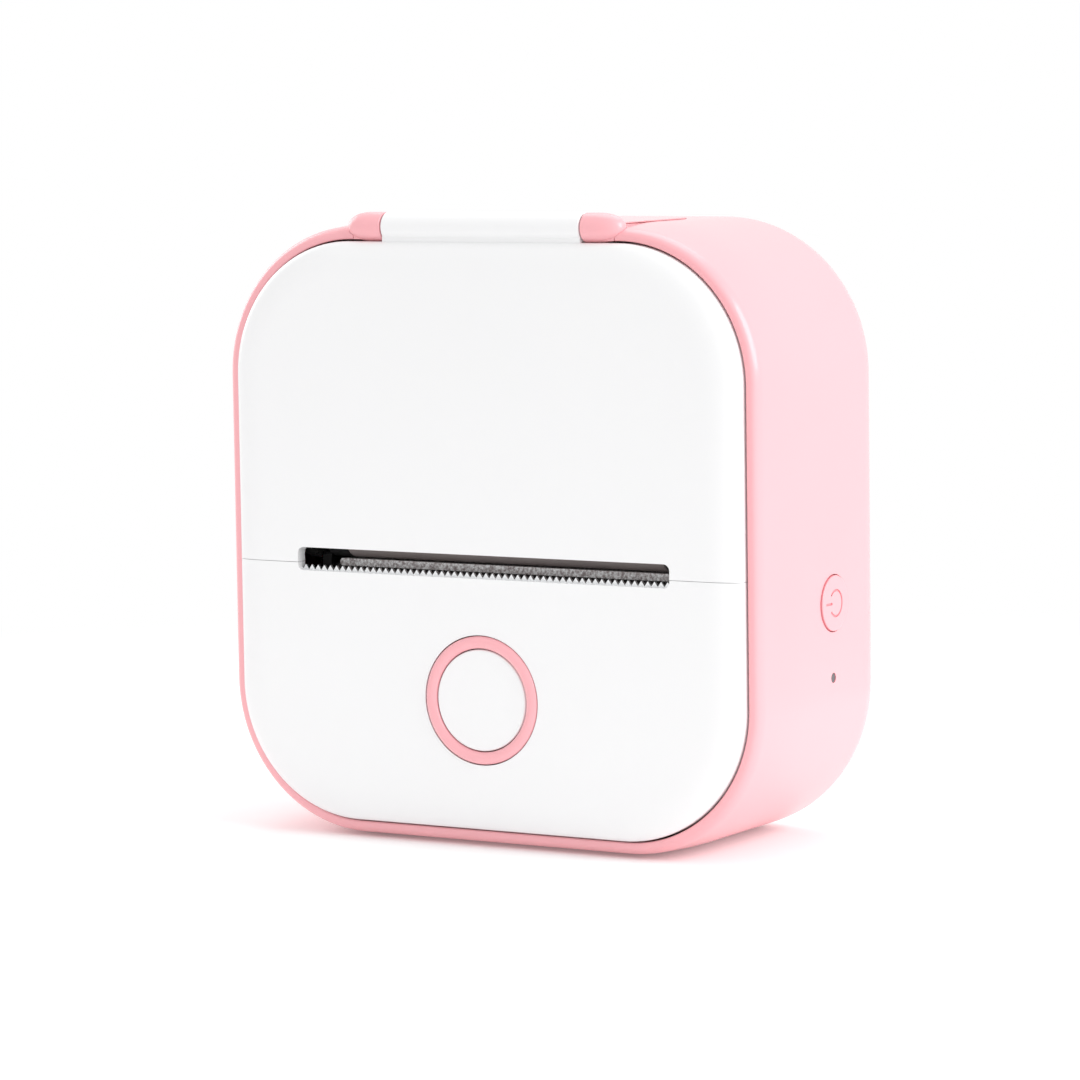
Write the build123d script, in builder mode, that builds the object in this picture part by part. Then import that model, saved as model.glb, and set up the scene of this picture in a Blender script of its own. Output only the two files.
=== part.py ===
from build123d import *
from math import cos, pi, radians, sin, tan
import os

# Portable thermal printer: a rounded square case with a hinged front cover.
# X runs to the viewer's right, Y from the front to the back and Z up. The origin is the middle
# of the flat face that the printer stands on. Depths are measured from the front face, backwards.

# Case
body_width = 84.0
body_height = 84.6
overall_depth = 38.0
corner_radius = 21.0
case_wall = 2.2
back_wall = 2.2
back_edge_radius = 6.0
rim_depth = 2.0
rim_edge_width = 1.3
rim_edge_depth = 2.4
rim_face_round = 1.1
rim_side_round = 3.0
cavity_edge_radius = 3.6

# Front cover and lower panel
panel_gap = 0.4
panel_wall = 1.8
panel_edge_width = 4.2
panel_edge_depth = 1.6
panel_edge_round = 1.2
panel_face_round = 12.0
skirt_depth = 5.0
seam_height = 38.0
seam_gap = 0.12
seam_lip_rise = 1.2
seam_lip_thickness = 1.2
seam_lip_gap = 0.12
seam_lip_end = 2.6

# Paper slot and cutter
slot_width = 58.5
slot_above_seam = 2.1
slot_below_seam = 1.1
slot_corner = 0.9
cutter_thickness = 0.4
cutter_depth = 0.9
cutter_height = 6.0
tooth_pitch = 1.0
tooth_height = 0.7
cutter_end_gap = 0.1

# Cover hinge
hinge_depth = 3.0
hinge_drop = 0.5
barrel_radius = 2.0
barrel_length = 31.0
knuckle_gap = 0.2
knuckle_end = 21.5
dome_length = 3.6
knuckle_seat_gap = 0.08
hinge_pin_radius = 0.7
hinge_clearance = 0.05
trough_gap = 0.35
carrier_width = 41.0
carrier_back = 27.0
carrier_corner = 7.0
carrier_gap = 0.1

# Platen roller
platen_depth = 6.0
platen_above_seam = 3.7
platen_radius = 3.3
platen_length = 53.0
shaft_radius = 1.2
running_clearance = 0.04
bush_radius = 2.0
bush_wall_length = 1.4
side_gap = 0.3

# Gear train, all of one module
gear_module = 0.4
backlash = 0.14
pressure_angle = 20.0
gear_width = 1.7
gear_gap = 0.3
platen_teeth = 16
idler_teeth = 20
small_teeth = 12
large_teeth = 28
pinion_teeth = 10
idler_direction = -8.0
reduction_direction = -60.0
motor_direction = -58.0
axle_radius = 0.8
mesh_clearance = 0.05

# Print head
head_length = 54.0
head_front = 4.5
head_back = 15.5
ceramic_depth = 8.0
ceramic_thickness = 1.0
heat_sink_thickness = 1.5
heat_sink_setback = 1.8
nip_gap = 0.12
head_pivot_depth = 14.3
head_pin_radius = 0.6
spring_strip = 0.3
spring_height = 2.9
spring_foot = 5.2
spring_reach = 2.7
spring_pad = 3.5
spring_front = 6.6
spring_bend = 0.8
spring_width = 5.0
spring_spacing = 30.0

# Inner frame
frame_wall = 1.4
bay_width = 55.6
bay_floor_above_seam = 9.5
bay_top_drop = 3.6
bay_front = 5.5
bay_floor_front = 17.0
frame_back_gap = 0.2
cheek_inner = 27.3
cheek_bottom = 10.0
head_cheek_drop = 2.0
cheek_front = 12.5
head_cheek_front = 5.5
flange_gap = 0.4
mechanism_side_gap = 6.5
mechanism_above_seam = 11.0
beam_thickness = 1.6
beam_back = 12.0

# Posts and screws that hold the inner frame
post_side_gap = 8.0
lower_post_height = 16.0
upper_post_drop = 26.1
post_radius = 2.6
post_front = 13.4
ear_thickness = 1.4
pilot_radius = 0.7
screw_hole_radius = 1.1
screw_head_radius = 1.9
screw_head_height = 1.2
screw_length = 6.0

# Motor
motor_radius = 7.5
motor_length = 11.0
motor_shaft_radius = 0.75
motor_edge = 0.5
motor_boss = 1.0
motor_plug_width = 3.0
motor_plug_height = 6.0
motor_plug_reach = 2.0
axle_end = 0.4

# Feed button in the lower panel
button_height = 20.4
ring_radius = 8.75
ring_inner_radius = 7.05
ring_proud = 0.35
ring_flange_radius = 9.8
ring_flange = 0.9
button_gap = 0.12
cap_thickness = 1.5
cap_flange_radius = 8.0
cap_flange = 0.7
stem_radius = 1.5

# Boards and switches
board_front = 8.8
board_thickness = 1.0
board_screw_head_height = 1.0
board_screw_head_radius = 1.7
board_screw_bite = 2.0
board_inset = 5.5
board_below_seam = 7.5
chip_width = 9.0
chip_height = 8.0
chip_thickness = 1.2
chip_side = 16.0
switch_size = 6.0
switch_body = 3.5
plunger_radius = 1.75
plunger_proud = 0.7
board_post_side_gap = 13.0
board_post_radius = 1.8

# Power button and status light on the right side
power_depth = 22.4
power_height = 33.2
power_radius = 3.8
power_proud = 0.3
power_flange_radius = 4.7
power_flange = 0.7
symbol_radius = 1.75
symbol_line = 0.35
symbol_gap = 0.9
symbol_engraving = 0.15
light_depth = 22.2
light_height = 23.1
light_radius = 0.7
side_board_gap = 5.6
side_board_thickness = 1.0
side_board_margin = 5.3
side_board_low_margin = 3.5
side_arm_width = 2.4
side_arm_depth = 2.5
side_stem_radius = 1.2
light_chip = 1.6
light_chip_thickness = 0.6
side_switch_size = 4.5
side_switch_body = 2.2
side_plunger_radius = 1.0
side_plunger_proud = 0.5

# Charging socket on the left side
socket_height = 25.0
socket_width = 8.94
socket_thickness = 3.26
socket_length = 7.3
socket_wall = 0.3
socket_recess = 1.2
tongue_thickness = 0.7
tongue_width = 6.7
port_gap = 0.25

# Battery
battery_length = 50.0
battery_depth = 20.0
battery_height = 10.0
battery_bottom = 4.8
battery_back_gap = 0.6

# Values that follow from the sizes above
hinge_height = body_height - hinge_drop
platen_height = seam_height + platen_above_seam
bay_floor = seam_height + bay_floor_above_seam
bay_top = body_height - bay_top_drop
mechanism_half_width = body_width / 2 - mechanism_side_gap
mechanism_top = seam_height + mechanism_above_seam
post_x = body_width / 2 - post_side_gap
post_heights = (lower_post_height, body_height - upper_post_drop)
board_post_x = body_width / 2 - board_post_side_gap
board_top = seam_height - board_below_seam
side_board_x = body_width / 2 - case_wall - side_board_gap
front_y = -overall_depth / 2
panel_inset = case_wall + panel_gap
panel_width = body_width - 2 * panel_inset
cavity_back = overall_depth - back_wall
frame_back = cavity_back - frame_back_gap
slot_top = seam_height + slot_above_seam
slot_bottom = seam_height - slot_below_seam
cheek_outer = cheek_inner + frame_wall
gear_plane = -(cheek_outer + gear_gap)
large_gear_plane = gear_plane - gear_width - gear_gap
head_top = platen_height - platen_radius - nip_gap
heat_sink_top = head_top - ceramic_thickness
heat_sink_bottom = heat_sink_top - heat_sink_thickness
head_pivot_height = heat_sink_bottom + heat_sink_thickness / 2
beam_top = heat_sink_bottom - spring_height
head_cheek_bottom = beam_top - head_cheek_drop
board_back = board_front + board_thickness
ear_front = post_front - ear_thickness

os.makedirs("parts", exist_ok=True)


def at_depth(depth):
    """The upright plane at this depth behind the front face, drawn in X and Z."""
    return Plane(origin=(0, front_y + depth, 0), x_dir=(1, 0, 0), z_dir=(0, -1, 0))


def at_side(x, depth=0.0, height=0.0):
    """The plane across X at x, centred at this depth and height, drawn in Y and Z."""
    return Plane(origin=(x, front_y + depth, height), x_dir=(0, 1, 0), z_dir=(1, 0, 0))


def at_height(height):
    """The level plane at this height, drawn in X and Y."""
    return Plane.XY.offset(height)


def case_outline(inset):
    """The case's rounded square, drawn in by inset."""
    with Locations((0, body_height / 2)):
        RectangleRounded(
            body_width - 2 * inset, body_height - 2 * inset, corner_radius - inset
        )


def block(x_range, depth_range, z_range, mode=Mode.ADD):
    """A plain block between two values in each direction."""
    (x0, x1), (d0, d1), (z0, z1) = x_range, depth_range, z_range
    with BuildSketch(at_depth(d0)) as face:
        with Locations(((x0 + x1) / 2, (z0 + z1) / 2)):
            Rectangle(x1 - x0, z1 - z0)
    extrude(face.sketch, amount=-(d1 - d0), mode=mode)


def rod(x_range, depth, height, radius, mode=Mode.ADD):
    """A cylinder along X between two values."""
    with BuildSketch(at_side(x_range[0], depth, height)) as face:
        Circle(radius)
    extrude(face.sketch, amount=x_range[1] - x_range[0], mode=mode)


def stud(x, height, depth_range, radius, mode=Mode.ADD):
    """A cylinder along Y between two depths."""
    with BuildSketch(at_depth(depth_range[0])) as face:
        with Locations((x, height)):
            Circle(radius)
    extrude(face.sketch, amount=-(depth_range[1] - depth_range[0]), mode=mode)


def ring_at(builder, y):
    """The edges that lie wholly in the upright plane at y."""
    return [
        edge for edge in builder.edges()
        if abs(edge.bounding_box().min.Y - y) < 0.01 and abs(edge.bounding_box().max.Y - y) < 0.01
    ]


def soften(builder, width, depth, inner_radius, outer_radius):
    """Slopes the front edge by a width and a depth, then rounds both edges of the slope."""
    front = builder.faces().sort_by(Axis.Y)[0]
    y = front.center().Y
    chamfer(front.edges(), length=width, length2=depth, reference=front)
    fillet(ring_at(builder, y + depth), radius=outer_radius)
    fillet(ring_at(builder, y), radius=inner_radius)


def save(builder, name):
    """Labels a finished piece and writes it."""
    builder.part.label = name
    export_step(builder.part, f"parts/{name}.step")


# Space inside the case
with BuildPart() as cavity:
    with BuildSketch(at_depth(rim_depth)):
        case_outline(case_wall)
    extrude(amount=-(cavity_back - rim_depth))
    fillet(cavity.faces().sort_by(Axis.Y)[-1].edges(), radius=cavity_edge_radius)

# Case shell: side walls, back, rim, and the posts that carry the inner frame
with BuildPart() as case_shell:
    with BuildSketch(at_depth(rim_depth)):
        case_outline(0)
    extrude(amount=-(overall_depth - rim_depth))
    fillet(case_shell.faces().sort_by(Axis.Y)[-1].edges(), radius=back_edge_radius)
    soften(case_shell, rim_edge_width, rim_edge_depth, rim_face_round, rim_side_round)
    add(cavity.part, mode=Mode.SUBTRACT)
    for side in (-1, 1):
        for z in post_heights:
            stud(side * post_x, z, (post_front, cavity_back + back_wall / 2), post_radius)
            stud(side * post_x, z, (post_front, post_front + screw_length), pilot_radius, Mode.SUBTRACT)
    # Opening in the top for the hinge carrier
    with BuildSketch(at_height(body_height - 2 * case_wall)):
        with Locations((0, front_y + carrier_back / 2)):
            RectangleRounded(carrier_width, carrier_back, carrier_corner)
        with Locations((0, front_y + carrier_back / 4)):
            Rectangle(carrier_width, carrier_back / 2)
    extrude(amount=3 * case_wall, mode=Mode.SUBTRACT)
    rod((-knuckle_end - knuckle_seat_gap, knuckle_end + knuckle_seat_gap), hinge_depth, hinge_height,
        barrel_radius + knuckle_seat_gap, Mode.SUBTRACT)
    # Power button, status light and charging socket
    rod((body_width / 2 - 2 * case_wall, body_width / 2 + 1), power_depth, power_height,
        power_radius + button_gap, Mode.SUBTRACT)
    rod((body_width / 2 - 2 * case_wall, body_width / 2 + 1), light_depth, light_height,
        light_radius, Mode.SUBTRACT)
    with BuildSketch(at_side(-body_width / 2 - 1, board_back + socket_thickness / 2, socket_height)):
        SlotOverall(socket_width + 2 * port_gap, socket_thickness + 2 * port_gap, rotation=90)
    extrude(amount=2 * case_wall, mode=Mode.SUBTRACT)
save(case_shell, "case_shell")

# Hinge carrier: the insert in the top that carries both knuckles
carrier_inside = carrier_width / 2 - carrier_gap
with BuildPart() as hinge_carrier:
    with BuildSketch(at_height(body_height - case_wall)):
        with Locations((0, front_y + carrier_back / 2)):
            RectangleRounded(
                2 * carrier_inside, carrier_back - 2 * carrier_gap, carrier_corner - carrier_gap
            )
        with Locations((0, front_y + carrier_back / 4 + carrier_gap)):
            Rectangle(2 * carrier_inside, carrier_back / 2)
    extrude(amount=case_wall)
    block((-carrier_width, carrier_width), (-1, rim_depth), (0, 2 * body_height), Mode.SUBTRACT)
    half_trough = barrel_length / 2 + knuckle_gap
    rod((-half_trough, half_trough), hinge_depth, hinge_height, barrel_radius + trough_gap, Mode.SUBTRACT)
    block((-half_trough, half_trough), (-1, hinge_depth), (0, 2 * body_height), Mode.SUBTRACT)
    with BuildSketch(at_depth(hinge_depth)):
        for side in (-1, 1):
            with BuildLine():
                dome_start = side * (knuckle_end - dome_length)
                Line((side * half_trough, hinge_height + barrel_radius),
                     (dome_start, hinge_height + barrel_radius))
                Spline(
                    (dome_start, hinge_height + barrel_radius),
                    (side * (knuckle_end - 0.3 * dome_length), hinge_height + 0.71 * barrel_radius),
                    (side * knuckle_end, hinge_height), tangents=[(side, 0), (0, -1)],
                )
                Polyline(
                    (side * knuckle_end, hinge_height), (side * half_trough, hinge_height),
                    (side * half_trough, hinge_height + barrel_radius),
                )
            make_face()
    revolve(axis=Axis((0, front_y + hinge_depth, hinge_height), (1, 0, 0)))
    pin_half = knuckle_end - dome_length + barrel_radius / 2
    rod((-pin_half, pin_half), hinge_depth, hinge_height, hinge_pin_radius, Mode.SUBTRACT)
save(hinge_carrier, "hinge_carrier")

with BuildPart() as hinge_pin:
    rod((-pin_half + hinge_clearance, pin_half - hinge_clearance), hinge_depth, hinge_height,
        hinge_pin_radius)
save(hinge_pin, "hinge_pin")


def front_blank():
    """The whole front face as one shallow tray, before it is split at the seam."""
    with BuildPart() as blank:
        with BuildSketch(at_depth(0)):
            case_outline(panel_inset)
        extrude(amount=-skirt_depth)
        soften(blank, panel_edge_width, panel_edge_depth, panel_face_round, panel_edge_round)
        with BuildSketch(at_depth(panel_wall)):
            case_outline(panel_inset + panel_wall)
        extrude(amount=-skirt_depth, mode=Mode.SUBTRACT)
    return blank.part


# Front cover: the upper part of the face, with the hinge barrel along its top edge
cover_bottom = seam_height + seam_gap / 2
cover_top = body_height - panel_inset
with BuildPart() as front_cover:
    add(front_blank())
    split(bisect_by=Plane.XY.offset(cover_bottom), keep=Keep.TOP)
    half_slot = slot_width / 2
    with BuildSketch(at_depth(-1)):
        with BuildLine():
            FilletPolyline(
                (-half_slot, cover_bottom - 2), (-half_slot, slot_top), (half_slot, slot_top),
                (half_slot, cover_bottom - 2), radius=slot_corner,
            )
            Line((half_slot, cover_bottom - 2), (-half_slot, cover_bottom - 2))
        make_face()
    extrude(amount=-(panel_wall + 2), mode=Mode.SUBTRACT)
    half_barrel = barrel_length / 2
    rod((-half_barrel, half_barrel), hinge_depth, hinge_height, barrel_radius)
    block((-half_barrel, half_barrel), (hinge_depth - 1.5, hinge_depth + 1.2),
          (cover_top - panel_wall / 2, hinge_height - barrel_radius / 2))
    rod((-half_barrel, half_barrel), hinge_depth, hinge_height, hinge_pin_radius + hinge_clearance,
        Mode.SUBTRACT)
save(front_cover, "front_cover")

# Platen holder: the inner bar and cheeks on the cover that carry the roller
gear_zone = gear_plane - gear_width
left_cheek = (gear_zone - gear_gap - 1.0 - bush_wall_length, gear_zone - gear_gap - 1.0)
right_cheek = (cheek_outer + side_gap, cheek_outer + side_gap + bush_wall_length)
holder_top = 48.6
with BuildPart() as platen_holder:
    block((left_cheek[0], right_cheek[1]), (panel_wall, 3.4),
          (platen_height + platen_radius + 0.6, holder_top))
    for x_range in (left_cheek, right_cheek):
        with BuildSketch(at_side(x_range[0], 0, 0)):
            with BuildLine():
                Polyline(
                    (panel_wall, slot_top + 0.4), (panel_wall, holder_top), (5.2, holder_top),
                    (platen_depth + 3.2, platen_height + 2.0), (platen_depth + 3.2, platen_height - 1.6),
                    (platen_depth + 2.0, slot_top - 0.6), (platen_depth - 2.4, slot_top - 0.6), close=True,
                )
            make_face()
        extrude(amount=bush_wall_length)
        rod(x_range, platen_depth, platen_height, bush_radius, Mode.SUBTRACT)
save(platen_holder, "platen_holder")

with BuildPart() as platen_bushes:
    for x_range in (left_cheek, right_cheek):
        rod(x_range, platen_depth, platen_height, bush_radius)
        rod(x_range, platen_depth, platen_height, shaft_radius + running_clearance, Mode.SUBTRACT)
save(platen_bushes, "platen_bushes")

with BuildPart() as platen_shaft:
    rod((left_cheek[0] - 0.3, right_cheek[1] + 0.3), platen_depth, platen_height, shaft_radius)
    chamfer(platen_shaft.edges().filter_by(GeomType.CIRCLE), length=0.25)
save(platen_shaft, "platen_shaft")

with BuildPart() as platen_rubber:
    rod((-platen_length / 2, platen_length / 2), platen_depth, platen_height, platen_radius)
    rod((-platen_length / 2, platen_length / 2), platen_depth, platen_height, shaft_radius, Mode.SUBTRACT)
save(platen_rubber, "platen_rubber")


# Gears
def pitch_radius(teeth):
    return gear_module * teeth / 2


def gear_profile(teeth, phase):
    """A toothed outline centred on the sketch, with one tooth centred at the phase angle."""
    r_pitch = pitch_radius(teeth)
    r_tip = r_pitch + 0.8 * gear_module
    r_root = r_pitch - 1.1 * gear_module
    half_pitch_width = (pi * gear_module / 2 - backlash) / 2
    slope = tan(radians(pressure_angle))
    half_tip = (half_pitch_width - 0.8 * gear_module * slope) / r_tip
    half_root = (half_pitch_width + 0.8 * gear_module * slope) / r_root
    outline = []
    for tooth in range(teeth):
        middle = radians(phase) + 2 * pi * tooth / teeth
        for angle, radius in ((-half_root, r_root), (-half_tip, r_tip), (half_tip, r_tip),
                              (half_root, r_root)):
            outline.append((radius * cos(middle + angle), radius * sin(middle + angle)))
    with BuildLine() as teeth_line:
        Polyline(*outline, close=True)
    make_face(teeth_line.edges())


def meshing_phase(phase, teeth, mate_teeth, direction):
    """The mate's tooth angle that puts its gap over this gear's teeth, in that direction."""
    return direction + 180 + (direction - phase) * teeth / mate_teeth + 180 / mate_teeth


def stepped(centre, teeth, mate_teeth, direction):
    """The depth and height of a gear that meshes with one at centre, in that direction."""
    reach = pitch_radius(teeth) + pitch_radius(mate_teeth) + mesh_clearance
    return (centre[0] + reach * cos(radians(direction)), centre[1] + reach * sin(radians(direction)))


def gear(centre, teeth, phase, x_far, bore):
    """A gear of the common width from the plane x_far towards the middle, with its bore."""
    with BuildSketch(at_side(x_far, *centre)) as face:
        gear_profile(teeth, phase)
        Circle(bore, mode=Mode.SUBTRACT)
    extrude(face.sketch, amount=gear_width)


platen_centre = (platen_depth, platen_height)
idler_centre = stepped(platen_centre, platen_teeth, idler_teeth, idler_direction)
reduction_centre = stepped(idler_centre, idler_teeth, small_teeth, reduction_direction)
motor_centre = stepped(reduction_centre, large_teeth, pinion_teeth, motor_direction)
platen_phase = idler_direction
idler_phase = meshing_phase(platen_phase, platen_teeth, idler_teeth, idler_direction)
small_phase = meshing_phase(idler_phase, idler_teeth, small_teeth, reduction_direction)
large_phase = small_phase
pinion_phase = meshing_phase(large_phase, large_teeth, pinion_teeth, motor_direction)
near_plane = gear_plane - gear_width
far_plane = large_gear_plane - gear_width

with BuildPart() as platen_gear:
    gear(platen_centre, platen_teeth, platen_phase, near_plane, shaft_radius)
save(platen_gear, "platen_gear")

with BuildPart() as idler_gear:
    gear(idler_centre, idler_teeth, idler_phase, near_plane, axle_radius + running_clearance)
save(idler_gear, "idler_gear")

with BuildPart() as reduction_gear:
    gear(reduction_centre, small_teeth, small_phase, near_plane, axle_radius + running_clearance)
    gear(reduction_centre, large_teeth, large_phase, far_plane, axle_radius + running_clearance)
    hub_radius = pitch_radius(small_teeth) - 1.1 * gear_module
    with BuildSketch(at_side(far_plane + gear_width, *reduction_centre)):
        Circle(hub_radius)
        Circle(axle_radius + running_clearance, mode=Mode.SUBTRACT)
    extrude(amount=gear_gap)
save(reduction_gear, "reduction_gear")

with BuildPart() as motor_pinion:
    gear(motor_centre, pinion_teeth, pinion_phase, far_plane, motor_shaft_radius)
save(motor_pinion, "motor_pinion")

with BuildPart() as motor_shaft:
    rod((far_plane - 0.3, -cheek_inner + 0.6), *motor_centre, motor_shaft_radius)
save(motor_shaft, "motor_shaft")

with BuildPart() as stepper_motor:
    can_end = -cheek_inner + 0.1
    rod((can_end, can_end + motor_length), *motor_centre, motor_radius)
    fillet(stepper_motor.edges().filter_by(GeomType.CIRCLE), radius=motor_edge)
    rod((can_end, can_end + motor_boss), *motor_centre, motor_shaft_radius + 0.1, Mode.SUBTRACT)
    plug_end = can_end + motor_length - motor_boss
    block((plug_end - motor_plug_width, plug_end),
          (motor_centre[0] + motor_radius - motor_boss, motor_centre[0] + motor_radius + motor_plug_reach),
          (motor_centre[1] - motor_plug_height / 2, motor_centre[1] + motor_plug_height / 2))
save(stepper_motor, "stepper_motor")

with BuildPart() as gear_axles:
    for centre, x_end in ((idler_centre, near_plane - axle_end), (reduction_centre, far_plane - axle_end)):
        rod((x_end, -cheek_inner), *centre, axle_radius)
save(gear_axles, "gear_axles")

# Space that the inner frame has to stay within
with BuildPart() as frame_space:
    with BuildSketch(at_depth(0)):
        case_outline(case_wall + flange_gap)
    extrude(amount=-frame_back)
    fillet(frame_space.faces().sort_by(Axis.Y)[-1].edges(), radius=cavity_edge_radius - frame_back_gap)

# Inner frame: paper bay, gear cheeks, spring beam and screw ears in one moulding
bay_half = bay_width / 2
with BuildPart() as inner_frame:
    # Front flange round the bay
    with BuildSketch(at_depth(bay_front)):
        case_outline(case_wall + flange_gap)
        with Locations((0, 0)):
            Rectangle(2 * body_width, 2 * bay_floor, mode=Mode.SUBTRACT)
        with Locations((0, (bay_floor + bay_top) / 2)):
            Rectangle(bay_width, bay_top - bay_floor, mode=Mode.SUBTRACT)
        with Locations((0, bay_floor)):
            Rectangle(2 * mechanism_half_width, 2 * (mechanism_top - bay_floor), mode=Mode.SUBTRACT)
    extrude(amount=-frame_wall)
    # Bay walls: sides, top, floor and rear
    for side in (-1, 1):
        block(tuple(sorted((side * bay_half, side * (bay_half + frame_wall)))),
              (bay_front + 2.5, frame_back), (bay_floor, bay_top))
        block(tuple(sorted((side * bay_half, side * (bay_half + frame_wall)))),
              (bay_front, bay_front + 3), (mechanism_top, bay_top))
    block((-bay_half - frame_wall, bay_half + frame_wall), (bay_front, frame_back),
          (bay_top - frame_wall, bay_top))
    block((-bay_half - frame_wall, bay_half + frame_wall), (bay_floor_front, frame_back),
          (bay_floor, bay_floor + frame_wall))
    block((-bay_half - frame_wall, bay_half + frame_wall), (frame_back - frame_wall, frame_back),
          (cheek_bottom, bay_top))
    # Cheeks that carry the head, the gears and the motor
    for side in (-1, 1):
        inner, outer = side * cheek_inner, side * cheek_outer
        x_range = tuple(sorted((inner, outer)))
        block(x_range, (head_cheek_front, frame_back), (head_cheek_bottom, bay_floor + frame_wall))
        block(x_range, (cheek_front, frame_back), (cheek_bottom, head_cheek_bottom))
        # Open notch that the roller's shaft drops into
        with BuildSketch(at_side(x_range[0] - 0.1, 0, 0)):
            with Locations((platen_depth, platen_height)):
                Circle(bush_radius + 0.9)
            with Locations((platen_depth / 2, platen_height - 0.1)):
                Rectangle(platen_depth, 2 * (bush_radius + 0.9) + 0.2)
        extrude(amount=frame_wall + 0.2, mode=Mode.SUBTRACT)
        rod(tuple(sorted((inner - side * 0.1, outer + side * 0.1))), head_pivot_depth, head_pivot_height,
            head_pin_radius + 0.05, Mode.SUBTRACT)
        # Ears on the posts
        for z in post_heights:
            x_ear = tuple(sorted((side * cheek_outer - side * 0.4, side * (post_x + post_radius))))
            block(x_ear, (ear_front, post_front), (z - post_radius, z + post_radius))
            stud(side * post_x, z, (ear_front - 1, post_front + 1), screw_hole_radius, Mode.SUBTRACT)
    for x_range in ((-cheek_outer - 1, -cheek_inner + 1),):
        rod(x_range, *motor_centre, motor_shaft_radius + 0.4, Mode.SUBTRACT)
        rod(x_range, *idler_centre, axle_radius, Mode.SUBTRACT)
        rod(x_range, *reduction_centre, axle_radius, Mode.SUBTRACT)
    # Beam under the print head
    block((-cheek_outer, cheek_outer), (head_cheek_front, beam_back), (beam_top - beam_thickness, beam_top))
    # Posts behind the main board
    for side in (-1, 1):
        stud(side * board_post_x, post_heights[0], (board_back, ear_front + ear_thickness / 2),
             board_post_radius)
        stud(side * board_post_x, post_heights[0], (board_back, board_back + 2.0), pilot_radius,
             Mode.SUBTRACT)
    # Battery tray
    block((-battery_length / 2 - 2, battery_length / 2 + 2), (cheek_front, frame_back),
          (battery_bottom - frame_wall - 0.2, battery_bottom - 0.2))
    block((-battery_length / 2 - 2, battery_length / 2 + 2), (frame_back - frame_wall, frame_back),
          (battery_bottom - frame_wall - 0.2, cheek_bottom + 1))
    add(frame_space.part, mode=Mode.INTERSECT)
save(inner_frame, "inner_frame")

with BuildPart() as frame_screws:
    for side in (-1, 1):
        for z in post_heights:
            stud(side * post_x, z, (ear_front - screw_head_height, ear_front), screw_head_radius)
            stud(side * post_x, z, (ear_front, ear_front + screw_length), pilot_radius)
            block((side * post_x - 1.1, side * post_x + 1.1),
                  (ear_front - screw_head_height, ear_front - 0.7),
                  (z - 0.25, z + 0.25), Mode.SUBTRACT)
            block((side * post_x - 0.25, side * post_x + 0.25),
                  (ear_front - screw_head_height, ear_front - 0.7),
                  (z - 1.1, z + 1.1), Mode.SUBTRACT)
save(frame_screws, "frame_screws")

# Print head: ceramic strip on a heat sink that tilts on two pins
with BuildPart() as heat_sink:
    block((-head_length / 2, head_length / 2), (head_front + heat_sink_setback, head_back),
          (heat_sink_bottom, heat_sink_top))
    for side in (-1, 1):
        rod(tuple(sorted((side * head_length / 2, side * (cheek_outer - 0.2)))),
            head_pivot_depth, head_pivot_height, head_pin_radius)
save(heat_sink, "heat_sink")

with BuildPart() as head_ceramic:
    block((-head_length / 2, head_length / 2), (head_front, head_front + ceramic_depth),
          (heat_sink_top, head_top))
    chamfer(head_ceramic.edges().filter_by(Axis.X).group_by(Axis.Z)[-1].group_by(Axis.Y)[0], length=0.15)
save(head_ceramic, "head_ceramic")

with BuildPart() as head_spring:
    low, high = beam_top + spring_strip / 2, heat_sink_bottom - spring_strip / 2
    for x in (-spring_spacing / 2, spring_spacing / 2):
        with BuildSketch(at_side(x - spring_width / 2, 0, 0)):
            with BuildLine() as strip:
                FilletPolyline(
                    (spring_front + spring_foot, low), (spring_front, low),
                    (spring_front + spring_reach, high), (spring_front + spring_reach + spring_pad, high),
                    radius=spring_bend,
                )
            trace(strip.line, line_width=spring_strip)
        extrude(amount=spring_width)
save(head_spring, "head_spring")

# Lower panel with its cutter
panel_top = seam_height - seam_gap / 2
with BuildPart() as lower_panel:
    add(front_blank())
    split(bisect_by=Plane.XY.offset(panel_top), keep=Keep.BOTTOM)
    block((-slot_width / 2, slot_width / 2), (-1, panel_wall + 1), (slot_bottom, seam_height), Mode.SUBTRACT)
    # Lips behind the seam, either side of the slot, that the cover's edge rests in front of
    for side in (-1, 1):
        x_near, x_far = slot_width / 2 + panel_wall, panel_width / 2 - seam_lip_end
        lip = tuple(sorted((side * x_near, side * x_far)))
        block(lip, (panel_wall + seam_lip_gap, panel_wall + seam_lip_gap + seam_lip_thickness),
              (panel_top - 2 * seam_lip_rise, panel_top + seam_lip_rise))
        block(lip, (panel_wall / 2, panel_wall + seam_lip_thickness),
              (panel_top - 2 * seam_lip_rise, panel_top))
    # Ledge that carries the cutter
    block((-slot_width / 2 - 1, slot_width / 2 + 1),
          (panel_wall - 0.2, cutter_depth + cutter_thickness + 2.4),
          (slot_bottom - cutter_height, slot_bottom - cutter_height + 1.4))
    stud(0, button_height, (-1, panel_wall + 1), ring_radius + button_gap, Mode.SUBTRACT)
    # Pocket in the wall's rear that the cutter lies in
    block((-slot_width / 2, slot_width / 2), (cutter_depth, panel_wall + 1),
          (slot_bottom - cutter_height + 1.4, seam_height), Mode.SUBTRACT)
save(lower_panel, "lower_panel")

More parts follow.
